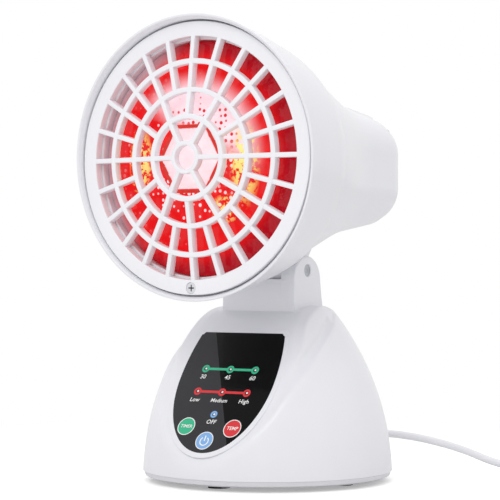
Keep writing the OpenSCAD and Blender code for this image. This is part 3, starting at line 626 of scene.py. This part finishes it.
def panelOutline(grow, corner=3.0):
    right = []
    for k in range(0, 49):
        a = math.radians(36 - 126 * k / 48)
        up = plate["high"] if a > 0 else plate["low"] + grow
        right.append(((plate["halfWidth"] + grow) * math.cos(a), up * math.sin(a) - plate["v"]))
    top = -plate["top"] + grow
    right = [p for p in right if p[1] < top - corner * 0.55]
    bend = []
    for k in range(1, 7):
        a = math.pi / 2 * (1 - k / 7)
        bend.append((right[0][0] - 1.0 + corner * 0.55 * (math.cos(a) - 1),
                     top + corner * 0.55 * (math.sin(a) - 1)))
    right = bend + right
    left = [(-u, v) for u, v in right[::-1] if abs(u) > 0.01]
    return right + left


makePiece("panel_bezel", *prism(panelOutline(plate["bezel"]), onPanel, -0.6, 0.22, 0.18,
                                segments=3), "shell", "base", slot="white_plastic")
face = makePiece("panel_glass", *prism(panelOutline(0.0), onPanel, -1.0, 0.42, 0.16, segments=3),
                 "panel", "base", replaces=("control_panel",), slot="panel_black")
inkT = 0.425  # the height of the printed marks on the face
# the lean and place of the edge of the panel's painted reflection, and its pale and dark colours
paintedReflection = {"lean": 0.5763, "from": 0.0289, "to": 0.0291, "pale": "#38383B", "dark": "#060607"}


# black acrylic: its left part is painted paler up to a straight edge, a painted reflection
def acrylicWithPaintedReflection():
    made, tree, shader = newMaterial("black_acrylic_painted_reflection")
    where = addNode(tree, "ShaderNodeTexCoord").outputs["Object"]
    parts = addNode(tree, "ShaderNodeSeparateXYZ", {0: where})
    lean = mathNode(tree, "MULTIPLY_ADD", parts.outputs[2], paintedReflection["lean"], parts.outputs[0])
    # right of the edge the face is dark; the pale colour left of it is a painted reflection
    right = smoothStep(tree, lean, paintedReflection["from"], paintedReflection["to"])
    colour = mixColour(tree, right, toLinear(paintedReflection["pale"]), toLinear(paintedReflection["dark"]))
    tree.links.new(colour, shader.inputs["Base Color"])
    shader.inputs["Roughness"].default_value = 0.12
    shader.inputs["Specular IOR Level"].default_value = 0.12
    return made


# the panel's face gets the black acrylic with its painted reflection
face.data.materials.clear()
face.data.materials.append(acrylicWithPaintedReflection())


# a flat ring or, with no inner radius, a disc
def disc(u, v, r0, r1, t0, t1, sides=48):
    path = [(r0, t0), (r0, t1), (r1, t1), (r1, t0)] if r0 else [(0.001, t1), (r1, t1), (r1, t0)]
    axis = Vector(onPanel(0, 0, 1)) - Vector(onPanel(0, 0, 0))
    return spun([onPanel(u + r, v, t) for r, t in path], onPanel(u, v, 0), axis, sides)


def stroke(u0, v0, u1, v1, width, t1):
    outline = [(u0, v0 - width / 2), (u1, v1 - width / 2), (u1, v1 + width / 2),
               (u0, v0 + width / 2)]
    return prism(outline, onPanel, inkT - 0.03, t1)


marksAt = {"timer": (-65.1, (-15.9, 0.0, 15.9)), "heat": (-79.4, (-15.8, 0.0, 15.8)),
           "off": (-93.2, (0.0,)), "bar": 1.5, "ring": (1.15, 2.35), "dot": 0.62}


def scaleRow(name, look, v, us):
    parts = []
    for k in range(len(us) - 1):
        parts.append(stroke(us[k] + 1.5, v, us[k + 1] - 1.5, v, marksAt["bar"], inkT + 0.04))
    for u in us:
        parts.append(disc(u, v, *marksAt["ring"], inkT - 0.03, inkT + 0.05))
    makePiece(name, *joinParts(parts), look, "base")


scaleRow("timer_scale", "green", *marksAt["timer"])
scaleRow("heat_scale", "red", *marksAt["heat"])
makePiece("off_mark", *disc(0, marksAt["off"][0], 1.0, 2.1, inkT - 0.03, inkT + 0.05), "blue",
          "base")
spots = [(u, v) for v, us in (marksAt["timer"], marksAt["heat"], marksAt["off"]) for u in us]
makePiece("lamp_windows", *joinParts([disc(u + 0.15, v + 0.1, 0, marksAt["dot"], inkT - 0.03,
                                           inkT + 0.03, 20) for u, v in spots]), "ink", "base")


def key(name, node, look, u, v, slot):
    makePiece(name + "_rim", *disc(u, v, 4.95, 5.4, inkT - 0.03, inkT + 0.06, 64), "ink", "base")
    makePiece(name, *disc(u, v, 0, 5.0, inkT - 0.03, inkT + 0.045, 64), look, "base",
              replaces=(node,), slot=slot)


key("timer_pad", "timer_key", "green", -14.75, -101.2, "key_green")
key("temp_pad", "temp_key", "red", 14.7, -101.2, "key_red")
key("power_pad", "power_key", "blue", 0.0, -109.3, "key_blue")


# plain leaning text, made a mesh and laid on the panel
def word(text, u, v, size, lean):
    data = bpy.data.curves.new("word", "FONT")
    data.body = text
    data.size = size
    data.align_x = "CENTER"
    data.align_y = "CENTER"
    data.shear = lean
    data.offset = 0.03
    data.resolution_u = 3
    flat = bpy.data.objects.new("word", data)
    bpy.context.scene.collection.objects.link(flat)
    graph = bpy.context.evaluated_depsgraph_get()
    mesh = bpy.data.meshes.new_from_object(flat.evaluated_get(graph))
    verts = [onPanel(u + p.co.x, v + p.co.y, inkT + 0.07) for p in mesh.vertices]
    faces = [tuple(f.vertices) for f in mesh.polygons]
    bpy.data.objects.remove(flat)
    return verts, faces


words = [word(*row) for row in (
    ("30", -15.9, -70.2, 3.7, 0.12), ("45", 0.0, -70.2, 3.7, 0.12), ("60", 15.9, -70.2, 3.7, 0.12),
    ("Low", -15.8, -84.7, 3.5, 0.12), ("Medium", 0.0, -84.7, 3.3, 0.12),
    ("High", 15.8, -84.7, 3.5, 0.12), ("OFF", 0.0, -97.9, 3.5, 0.12),
    ("TIMER", -14.75, -101.2, 2.7, 0.1), ("TEMP", 14.7, -101.2, 2.9, 0.1))]
# the power mark: an open ring and a bar
arc = []
for k in range(25):
    a = math.radians(125 + 290 * k / 24)
    arc.append([onPanel(r * math.cos(a), -109.6 + r * math.sin(a), inkT + 0.07)
                for r in (2.2, 2.85)])
power = loft(arc, closed=False)
powerBar = stroke(-0.33, -107.9, 0.33, -107.9, 3.2, inkT + 0.08)
makePiece("printed_marks", *joinParts(words + [power, powerBar]), "ink", "base", smooth=False)
print("stage: panel")


# The head: a bell in front and a tail behind it that turns from round to a rounded square.
bell = {"offset": 1.2, "arc": 68.0, "arcY": -49.4}
tail = {"halfWidth": 32.1, "halfHeight": 29.5, "corner": 19.9, "rear": 100.2, "round": 14.0,
        "join": -17.2, "fillet": 9.0, "taper": 0.135, "blend": (-30.0, 50.9), "drop": 1.3,
        "cover": 93.0}
ridge = {"outer": 12.0, "inner": 7.5, "outerRise": 1.1, "innerRise": 0.9, "edge": 2.0,
         "spread": 7.0}


def bellRadius(y):
    if y <= -70:
        return 74.3 + (y + 70) / (-9.0) * 1.9
    if y <= -56:
        return 72.0 + (y + 56) / (-14.0) * 2.3
    if y <= -38:
        return 68.24 + (y + 38) / (-18.0) * 3.76
    return bell["offset"] + math.sqrt(bell["arc"] ** 2 - (y - bell["arcY"]) ** 2)


def squareRadius(a, halfW, halfH, corner):
    c, s = abs(math.cos(a)), abs(math.sin(a))
    if c > 1e-9 and s / c * halfW <= halfH - corner:
        return halfW / c
    if s > 1e-9 and c / s * halfH <= halfW - corner:
        return halfH / s
    px, pz = halfW - corner, halfH - corner
    b = px * c + pz * s
    return b + math.sqrt(max(b * b - (px * px + pz * pz - corner * corner), 0))


# behind the bell's arc the section goes from a circle to the rear's rounded square
def headSection(y):
    joinR = bellRadius(tail["join"])
    fillet = tail["fillet"]
    nx = (joinR - bell["offset"]) / bell["arc"]
    ny = (tail["join"] - bell["arcY"]) / bell["arc"]
    fx, fy = joinR + nx * fillet, tail["join"] + ny * fillet
    turn = math.atan(tail["taper"])
    endY = fy - fillet * math.sin(turn)
    if y < endY:
        return fx - math.sqrt(max(fillet ** 2 - (y - fy) ** 2, 0))
    return fx - fillet * math.cos(turn) - tail["taper"] * (y - endY)


def tailBlend(y):
    return soften((y - tail["blend"][0]) / (tail["blend"][1] - tail["blend"][0]))


def tailRadius(a, y):
    grow = headSection(y) - headSection(tail["rear"])
    t = tailBlend(y)
    square = squareRadius(a, tail["halfWidth"] + grow, tail["halfHeight"] + grow,
                          tail["corner"] + grow)
    rounded = max(0.0, y - tail["rear"] + tail["round"])
    pull = tail["round"] - math.sqrt(max(tail["round"] ** 2 - rounded ** 2, 0))
    return headSection(y) * (1 - t) + square * t - pull


# two raised steps along the top, one on the other
def tailRidge(a, y):
    if math.sin(a) < 0.4:
        return 0.0
    side = abs(math.atan2(math.cos(a), math.sin(a))) * tailRadius(a, y)
    length = soften((y - 2) / 20.0) * soften((90.0 - y) / 7.0)
    spread = ridge["spread"] * soften((y - 10) / 70.0)
    outer = 1 - soften((side - ridge["outer"] - spread) / ridge["edge"])
    inner = 1 - soften((side - ridge["inner"] - 0.6 * spread) / ridge["edge"])
    return length * (ridge["outerRise"] * outer + ridge["innerRise"] * inner)


headTurns = 420
headAngles = [2 * math.pi * k / headTurns for k in range(headTurns)]
# the mouth's inner wall, flange and lip, as (radius, y)
stations = [(62.6, -57.0), (62.6, -65.1), (62.6, -67.3), (62.8, -67.6), (72.5, -67.6),
            (72.8, -67.9), (72.85, -72.4), (73.0, -73.2), (73.9, -74.7), (74.15, -75.05),
            (74.4, -75.2), (75.0, -75.2), (75.3, -75.1), (75.45, -74.8)]
stations += [(bellRadius(y), y) for y in (-74.2, -72.5, -70, -66, -61, -56, -50, -44, -38, -34,
                                          -31, -28.5, -26, -24, -22, -20, -18.5)]
headRings = [[(r * math.cos(a), y + shiftY - lipShear(y) * r * math.sin(a),
               head["z"] + r * math.sin(a)) for a in headAngles] for r, y in stations]
steps = [tail["join"] + 0.02 + 0.5 * k for k in range(13)]
steps += [tail["join"] + 7 + 2.2 * k for k in range(44)]
steps = [y for y in steps if y < tail["cover"] - 0.3] + [tail["cover"] - 0.25]
for y in steps:
    ring = []
    for a in headAngles:
        r = tailRadius(a, y) + tailRidge(a, y)
        ring.append((r * math.cos(a), y + shiftY,
                     head["z"] - tail["drop"] * tailBlend(y) + r * math.sin(a)))
    headRings.append(ring)


def shrink(ring, inward, y):
    middle = head["z"] - tail["drop"]
    out = []
    for x, _, z in ring:
        keep = 1 - inward / math.hypot(x, z - middle)
        out.append((x * keep, y + shiftY, middle + (z - middle) * keep))
    return out


last = headRings[-1]
headRings += [shrink(last, inward, tail["cover"] + dy)
              for inward, dy in ((0.35, -0.05), (0.9, 0.1), (2.2, -4))]
makePiece("head_skin", *loft(headRings), "shell", "head", replaces=("head_shell",),
          slot="white_plastic")

# the lug hangs between the ears and rises into the skin
lug = {"radius": 11.3, "halfWidth": 13.75, "soft": 0.8}
pivY, pivZ = neck["pivotY"], neck["pivotZ"]
lugOutline = []
for k in range(33):
    a = math.pi + math.pi * k / 32
    lugOutline.append((pivY + lug["radius"] * math.cos(a), pivZ + lug["radius"] * math.sin(a)))
lugOutline += [(pivY + 34, pivZ + 29.5), (pivY + 32, pivZ + 32), (pivY - lug["radius"], pivZ + 22)]
makePiece("head_lug", *prism(lugOutline, lambda u, v, q: (q, u + shiftY, v), -lug["halfWidth"],
                             lug["halfWidth"], lug["soft"], both=True, segments=3),
          "shell", "head", slot="white_plastic")


def rearPlace(u, v, y):
    return (u, y + shiftY, head["z"] + v)


def coverPlace(u, v, y):
    return rearPlace(u, v - tail["drop"], y)


# the rear cover, with its air slots and the four screws' recesses cut through
grille = {"rows": (-12, -6, 0, 6, 12), "half": 12.8, "slot": 1.2, "screw": 21.4, "recess": 2.9,
          "floor": 94.6, "domeSteps": 14}
coverRings = []
for k in range(grille["domeSteps"] + 1):
    turn = math.pi / 2 * k / grille["domeSteps"]
    y = tail["cover"] + 0.1 + (tail["rear"] - tail["cover"] - 0.1) * math.sin(turn)
    coverRings.append([coverPlace(tailRadius(a, y) * math.cos(a), tailRadius(a, y) * math.sin(a), y)
                       for a in headAngles])
coverRings.insert(0, shrink(coverRings[0], 0.35, tail["cover"]))
coverRings.insert(0, shrink(coverRings[0], 2.4, tail["cover"] - 0.6))
middle = head["z"] - tail["drop"]
flat = coverRings[-1]
for portion in (0.7, 0.4, 0.12):
    coverRings.append([(x * portion, tail["rear"] + shiftY, middle + (z - middle) * portion)
                       for x, _, z in flat])
cover = bareObject("rear_grille", *loft(coverRings, True, True))
cuts = []
for v in grille["rows"]:
    outline = [(math.copysign(grille["half"], x) + x, z)
               for x, z in circlePoints(grille["slot"], 24, 0.0, v)]
    cuts.append(prism(outline, coverPlace, tail["cover"] - 3, tail["rear"] + 3))
for u in (-grille["screw"], grille["screw"]):
    for v in (-grille["screw"], grille["screw"]):
        cuts.append(prism(circlePoints(grille["recess"], 32, u, v), rearPlace, grille["floor"],
                          tail["rear"] + 3))
cutOut(cover, bareObject("cutter", *joinParts(cuts)))
finishPiece(cover, "head", replaces=("rear_cover",))
print("stage: head")


# The guard: a rim, three rings and a hub, joined by bars that thin out towards the middle.
guard = {"outer": 72.0, "open": 64.0, "front": -72.7, "hub": -80.5, "bar": 2.6, "deep": 4.4,
         "rings": [(50.9, -74.6), (35.8, -76.3), (21.6, -79.1)], "ringHalf": 1.4, "bars": 24,
         "hubIn": 6.35, "hubOut": 8.7, "sink": 0.12, "screwAngle": 269.0, "screwRadius": 68.3,
         "screwHole": 3.15}


def ringBand(inner, outer, y0, deep, soft=0.5, segments=160):
    profile = []
    for (r, y), start in (((outer - soft, y0 + soft), 0), ((inner + soft, y0 + soft), 90)):
        for k in range(5):
            a = math.radians(start + 22.5 * k)
            profile.append((r + soft * math.cos(a), y - soft * math.sin(a)))
    profile += [(inner, y0 + deep), (outer, y0 + deep)]
    return turned(profile, segments)


# a bar's soft-edged section, extruded from one ring to the next
def guardBar(angle, r0, y0, r1, y1, soft=0.45):
    c, s = math.cos(angle), math.sin(angle)
    half, deep = guard["bar"] / 2, guard["deep"]
    section = [(-half, deep), (-half, soft), (-half + 0.13, 0.13), (-half + soft, 0),
               (half - soft, 0), (half - 0.13, 0.13), (half, soft), (half, deep)]
    start = [(r0 * c - q * s, y0 + d + shiftY, head["z"] + r0 * s + q * c) for q, d in section]
    return extruded(start, ((r1 - r0) * c, y1 - y0, (r1 - r0) * s))


guardRim = bareObject("guard_rim", *ringBand(guard["open"], guard["outer"], guard["front"], 5.0,
                                             0.6), look="guard")
a = math.radians(guard["screwAngle"])
screwU, screwV = guard["screwRadius"] * math.cos(a), guard["screwRadius"] * math.sin(a)
screwHole = circlePoints(guard["screwHole"], 48, screwU, screwV)
cutOut(guardRim, bareObject("cutter", *prism(screwHole, rearPlace, guard["front"] - 2,
                                             guard["front"] + 2.0)))
finishPiece(guardRim, "guard")

# where the bars meet the rings: every second stops at the second ring, every fourth at the hub
stops = [(guard["open"] + 1.5, guard["front"])] + guard["rings"] + [(7.6, guard["hub"])]
parts = [ringBand(r - guard["ringHalf"], r + guard["ringHalf"], y, guard["deep"])
         for r, y in guard["rings"]]
parts.append(ringBand(guard["hubIn"], guard["hubOut"], guard["hub"], guard["deep"], 0.4, 96))
for k in range(guard["bars"]):
    a = 2 * math.pi * k / guard["bars"]
    reach = 4 if k % 4 == 0 else 3 if k % 2 == 0 else 2
    for (r0, y0), (r1, y1) in zip(stops[:reach], stops[1:]):
        parts.append(guardBar(a, r0, y0 + guard["sink"], r1, y1 + guard["sink"]))
makePiece("guard_web", *joinParts(parts), "guard", "guard", replaces=("guard",),
          slot="white_plastic")
print("stage: guard")

# the guard's screw is bright; a dark cross laid on its head is painted shade of its cross recess
crossY = 1000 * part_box("guard_screw")[0][1] - shiftY - 0.02
crossShade = []
for wide, tall in ((1.75, 0.3), (0.3, 1.75)):
    outline = [(screwU + x * wide, screwV + z * tall)
               for x, z in ((-1, -1), (1, -1), (1, 1), (-1, 1))]
    crossShade.append(prism(outline, rearPlace, crossY, crossY + 0.3))
makePiece("screw_cross_shade", *joinParts(crossShade), "foot", "guard", smooth=False)
nickel = grainMaterial("bright_nickel", "#DADBE0", 0.5, metallic=0.3)
frame["nodes"]["guard_screw"].material_slots[0].material = nickel


# The bulb's face, lit from behind: x and z are millimetres from the middle of the hexagon.
lens = {"arc": 520.0, "arcY": 452.0, "wall": 3.0, "radius": 61.4, "centreX": 5.0, "glow": 0.35}
glows = [(-33.0, -1.0, 7.0, 17.0), (34.0, -4.0, 8.0, 19.0), (22.0, -27.0, 8.0, 7.0)]


# pressed ruby glass: dimples that sparkle, a pale upper half and yellow patches near the filament
def lensMaterial():
    made, tree, shader = newMaterial("dimpled_ruby_glass")
    where = addNode(tree, "ShaderNodeTexCoord").outputs["Object"]
    parts = addNode(tree, "ShaderNodeSeparateXYZ", {0: where})
    x = mathNode(tree, "MULTIPLY_ADD", parts.outputs[0], 1000.0, lens["centreX"])
    z = mathNode(tree, "MULTIPLY_ADD", parts.outputs[2], 1000.0, -head["z"])
    ax, az = mathNode(tree, "ABSOLUTE", x), mathNode(tree, "ABSOLUTE", z)
    slant = mathNode(tree, "MULTIPLY_ADD", ax, 0.866, mathNode(tree, "MULTIPLY", az, 0.5))
    hexagon = mathNode(tree, "MAXIMUM", az, slant)
    squares = mathNode(tree, "ADD", mathNode(tree, "MULTIPLY", x, x),
                       mathNode(tree, "MULTIPLY", z, z))
    radius = mathNode(tree, "SQRT", squares)
    noise = addNode(tree, "ShaderNodeTexNoise", {"Vector": where, "Scale": 60.0, "Detail": 4.0})
    wobble = mathNode(tree, "MULTIPLY_ADD", noise.outputs["Fac"], 16.0, -8.0)
    dots = addNode(tree, "ShaderNodeTexVoronoi", {"Vector": where, "Scale": 300.0,
                                                  "Randomness": 0.35})
    dot = mathNode(tree, "SUBTRACT", 1.0, smoothStep(tree, dots.outputs["Distance"], 0.24, 0.36))
    red, pink = toLinear("#E01C20"), toLinear("#F4DDE3")
    side = mathNode(tree, "MULTIPLY_ADD", x, 0.45, mathNode(tree, "MULTIPLY", z, 0.9))
    side = mathNode(tree, "ADD", side, wobble)
    near = mathNode(tree, "SUBTRACT", 1.0, smoothStep(tree, radius, 34.0, 48.0))
    pinkness = mathNode(tree, "MULTIPLY", smoothStep(tree, side, 8.0, 20.0), near)
    field = mixColour(tree, pinkness, red, pink)
    dotted = mixColour(tree, pinkness, toLinear("#FBE9EC"), toLinear("#D22630"))
    away = smoothStep(tree, mathNode(tree, "ABSOLUTE", side), 2.0, 9.0)
    within = mathNode(tree, "SUBTRACT", 1.0, smoothStep(tree, radius, 30.0, 50.0))
    dotBand = mathNode(tree, "MULTIPLY", mathNode(tree, "MULTIPLY", dot, away), within)
    field = mixColour(tree, dotBand, field, dotted)
    sparks = addNode(tree, "ShaderNodeTexNoise", {"Vector": where, "Scale": 420.0, "Detail": 3.0})
    fleck = smoothStep(tree, sparks.outputs["Fac"], 0.44, 0.56)
    for cx, cz, wide, tall in glows:
        gx = mathNode(tree, "DIVIDE", mathNode(tree, "ADD", x, -cx), wide)
        gz = mathNode(tree, "DIVIDE", mathNode(tree, "ADD", z, -cz), tall)
        span = mathNode(tree, "ADD", mathNode(tree, "MULTIPLY", gx, gx),
                        mathNode(tree, "MULTIPLY", gz, gz))
        glow = mathNode(tree, "SUBTRACT", 1.0, smoothStep(tree, span, 0.2, 1.6))
        field = mixColour(tree, mathNode(tree, "MULTIPLY", glow, fleck), field,
                          toLinear("#F7EC8A"))
    middle = mathNode(tree, "SUBTRACT", 1.0, smoothStep(tree, hexagon, 15.6, 16.2))
    beside = mathNode(tree, "ABSOLUTE", mathNode(tree, "ADD", hexagon, -17.2))
    line = mathNode(tree, "SUBTRACT", 1.0, smoothStep(tree, beside, 0.7, 1.3))
    field = mixColour(tree, line, field, toLinear("#C9352B"))
    field = mixColour(tree, middle, field, toLinear("#F3E1E6"))
    outer = smoothStep(tree, radius, 50.0, 61.0)
    field = mixColour(tree, outer, field, toLinear("#A5101E"))
    # on the left the rim is painted mauve-grey: painted shade and reflection of the bell's inner
    # wall
    rimSide = mathNode(tree, "MULTIPLY_ADD", x, -1.0, mathNode(tree, "MULTIPLY", z, 0.25))
    rimWallShade = mathNode(tree, "MULTIPLY", smoothStep(tree, rimSide, 18.0, 46.0),
                       smoothStep(tree, radius, 51.0, 57.0))
    field = mixColour(tree, rimWallShade, field, toLinear("#B59299"))
    tree.links.new(field, shader.inputs["Base Color"])
    tree.links.new(field, shader.inputs["Emission Color"])
    shader.inputs["Emission Strength"].default_value = lens["glow"]
    shader.inputs["Roughness"].default_value = 0.16
    shader.inputs["Specular IOR Level"].default_value = 0.25
    bump = addNode(tree, "ShaderNodeBump", {"Height": dots.outputs["Distance"], "Strength": 0.5,
                                            "Distance": 0.0006})
    tree.links.new(bump.outputs[0], shader.inputs["Normal"])
    return made


def crown(radius, depth=0.0):
    return lens["arcY"] - math.sqrt((lens["arc"] - depth) ** 2 - radius * radius)


lensProfile = []
for k in range(24):
    r = lens["radius"] * k / 23 + 0.01
    lensProfile.append((r, crown(r)))
lensProfile += [(61.9, -64.1), (62.2, -63.7), (62.3, -63.0), (62.3, -60.5), (60.5, -60.0),
                (60.5, -56.05), (57.4, -56.05), (57.0, -59.0)]
for k in range(10):
    r = 56.0 * (1 - k / 9) + 0.01
    lensProfile.append((r, crown(r, lens["wall"])))
makePiece("bulb_face", *turned(lensProfile), lensMaterial(), "head", replaces=("bulb_lens",),
          slot="ruby_glass")
print("stage: bulb")

# a white sweep that shows only the shadow near the lamp
sweep = {"half": 6, "nearLight": 0.36, "from": 0.13, "to": 0.42}
size = sweep["half"]
floorMesh = bpy.data.meshes.new("floor")
floorMesh.from_pydata([(-size, -size, 0), (size, -size, 0), (size, size, 0), (-size, size, 0)], [],
                      [(0, 1, 2, 3)])
floor = bpy.data.objects.new("floor", floorMesh)
bpy.context.scene.collection.objects.link(floor)
floorLook, tree, shader = newMaterial("white_sweep")
shader.inputs["Base Color"].default_value = (0.8, 0.8, 0.8, 1)
shader.inputs["Roughness"].default_value = 0.8
shader.inputs["Specular IOR Level"].default_value = 0.1
path = addNode(tree, "ShaderNodeLightPath")
spot = addNode(tree, "ShaderNodeTexCoord").outputs["Object"]
reach = addNode(tree, "ShaderNodeVectorMath", {0: spot}, operation="LENGTH").outputs["Value"]
far = smoothStep(tree, reach, sweep["from"], sweep["to"])
lift = addNode(tree, "ShaderNodeEmission", {"Color": (1, 1, 1, 1), "Strength": sweep["nearLight"]})
white = addNode(tree, "ShaderNodeEmission", {"Color": (1, 1, 1, 1), "Strength": 1.0})
nearFloor = addNode(tree, "ShaderNodeAddShader", {0: shader.outputs[0], 1: lift.outputs[0]})
seenFloor = addNode(tree, "ShaderNodeMixShader", {0: far, 1: nearFloor.outputs[0],
                                                  2: white.outputs[0]})
wholeFloor = addNode(tree, "ShaderNodeMixShader", {0: path.outputs["Is Camera Ray"],
                                                   1: shader.outputs[0], 2: seenFloor.outputs[0]})
tree.links.new(wholeFloor.outputs[0], tree.nodes["Material Output"].inputs["Surface"])
floorMesh.materials.append(floorLook)

# the object is lit at the lower strength; rays that see the background find plain white
worldLight = 0.86
world = bpy.data.worlds.new("studio")
bpy.context.scene.world = world
world.use_nodes = True
tree = world.node_tree
back = tree.nodes["Background"]
path = addNode(tree, "ShaderNodeLightPath")
white = mathNode(tree, "MAXIMUM", path.outputs["Is Camera Ray"],
                 path.outputs["Is Transmission Ray"])
white = mathNode(tree, "MAXIMUM", white, path.outputs["Is Glossy Ray"])
strength = mathNode(tree, "MULTIPLY_ADD", white, 1 - worldLight, worldLight)
tree.links.new(strength, back.inputs["Strength"])
back.inputs["Color"].default_value = (1, 1, 1, 1)


def softBox(name, place, target, wide, tall, power):
    data = bpy.data.lights.new(name, "AREA")
    data.shape = "RECTANGLE"
    data.size, data.size_y = wide, tall
    data.energy = power
    made = bpy.data.objects.new(name, data)
    made.location = place
    made.rotation_mode = "QUATERNION"
    made.rotation_quaternion = (Vector(target) - Vector(place)).to_track_quat("-Z", "Y")
    bpy.context.scene.collection.objects.link(made)
    return made


softBox("key", (0.35, -1.5, 1.35), (0, 0, 0.12), 1.0, 1.0, 8)
softBox("top", (-0.2, 0.4, 1.9), (0, 0, 0.1), 1.4, 1.4, 7)

bpy.context.scene.view_settings.view_transform = "Standard"
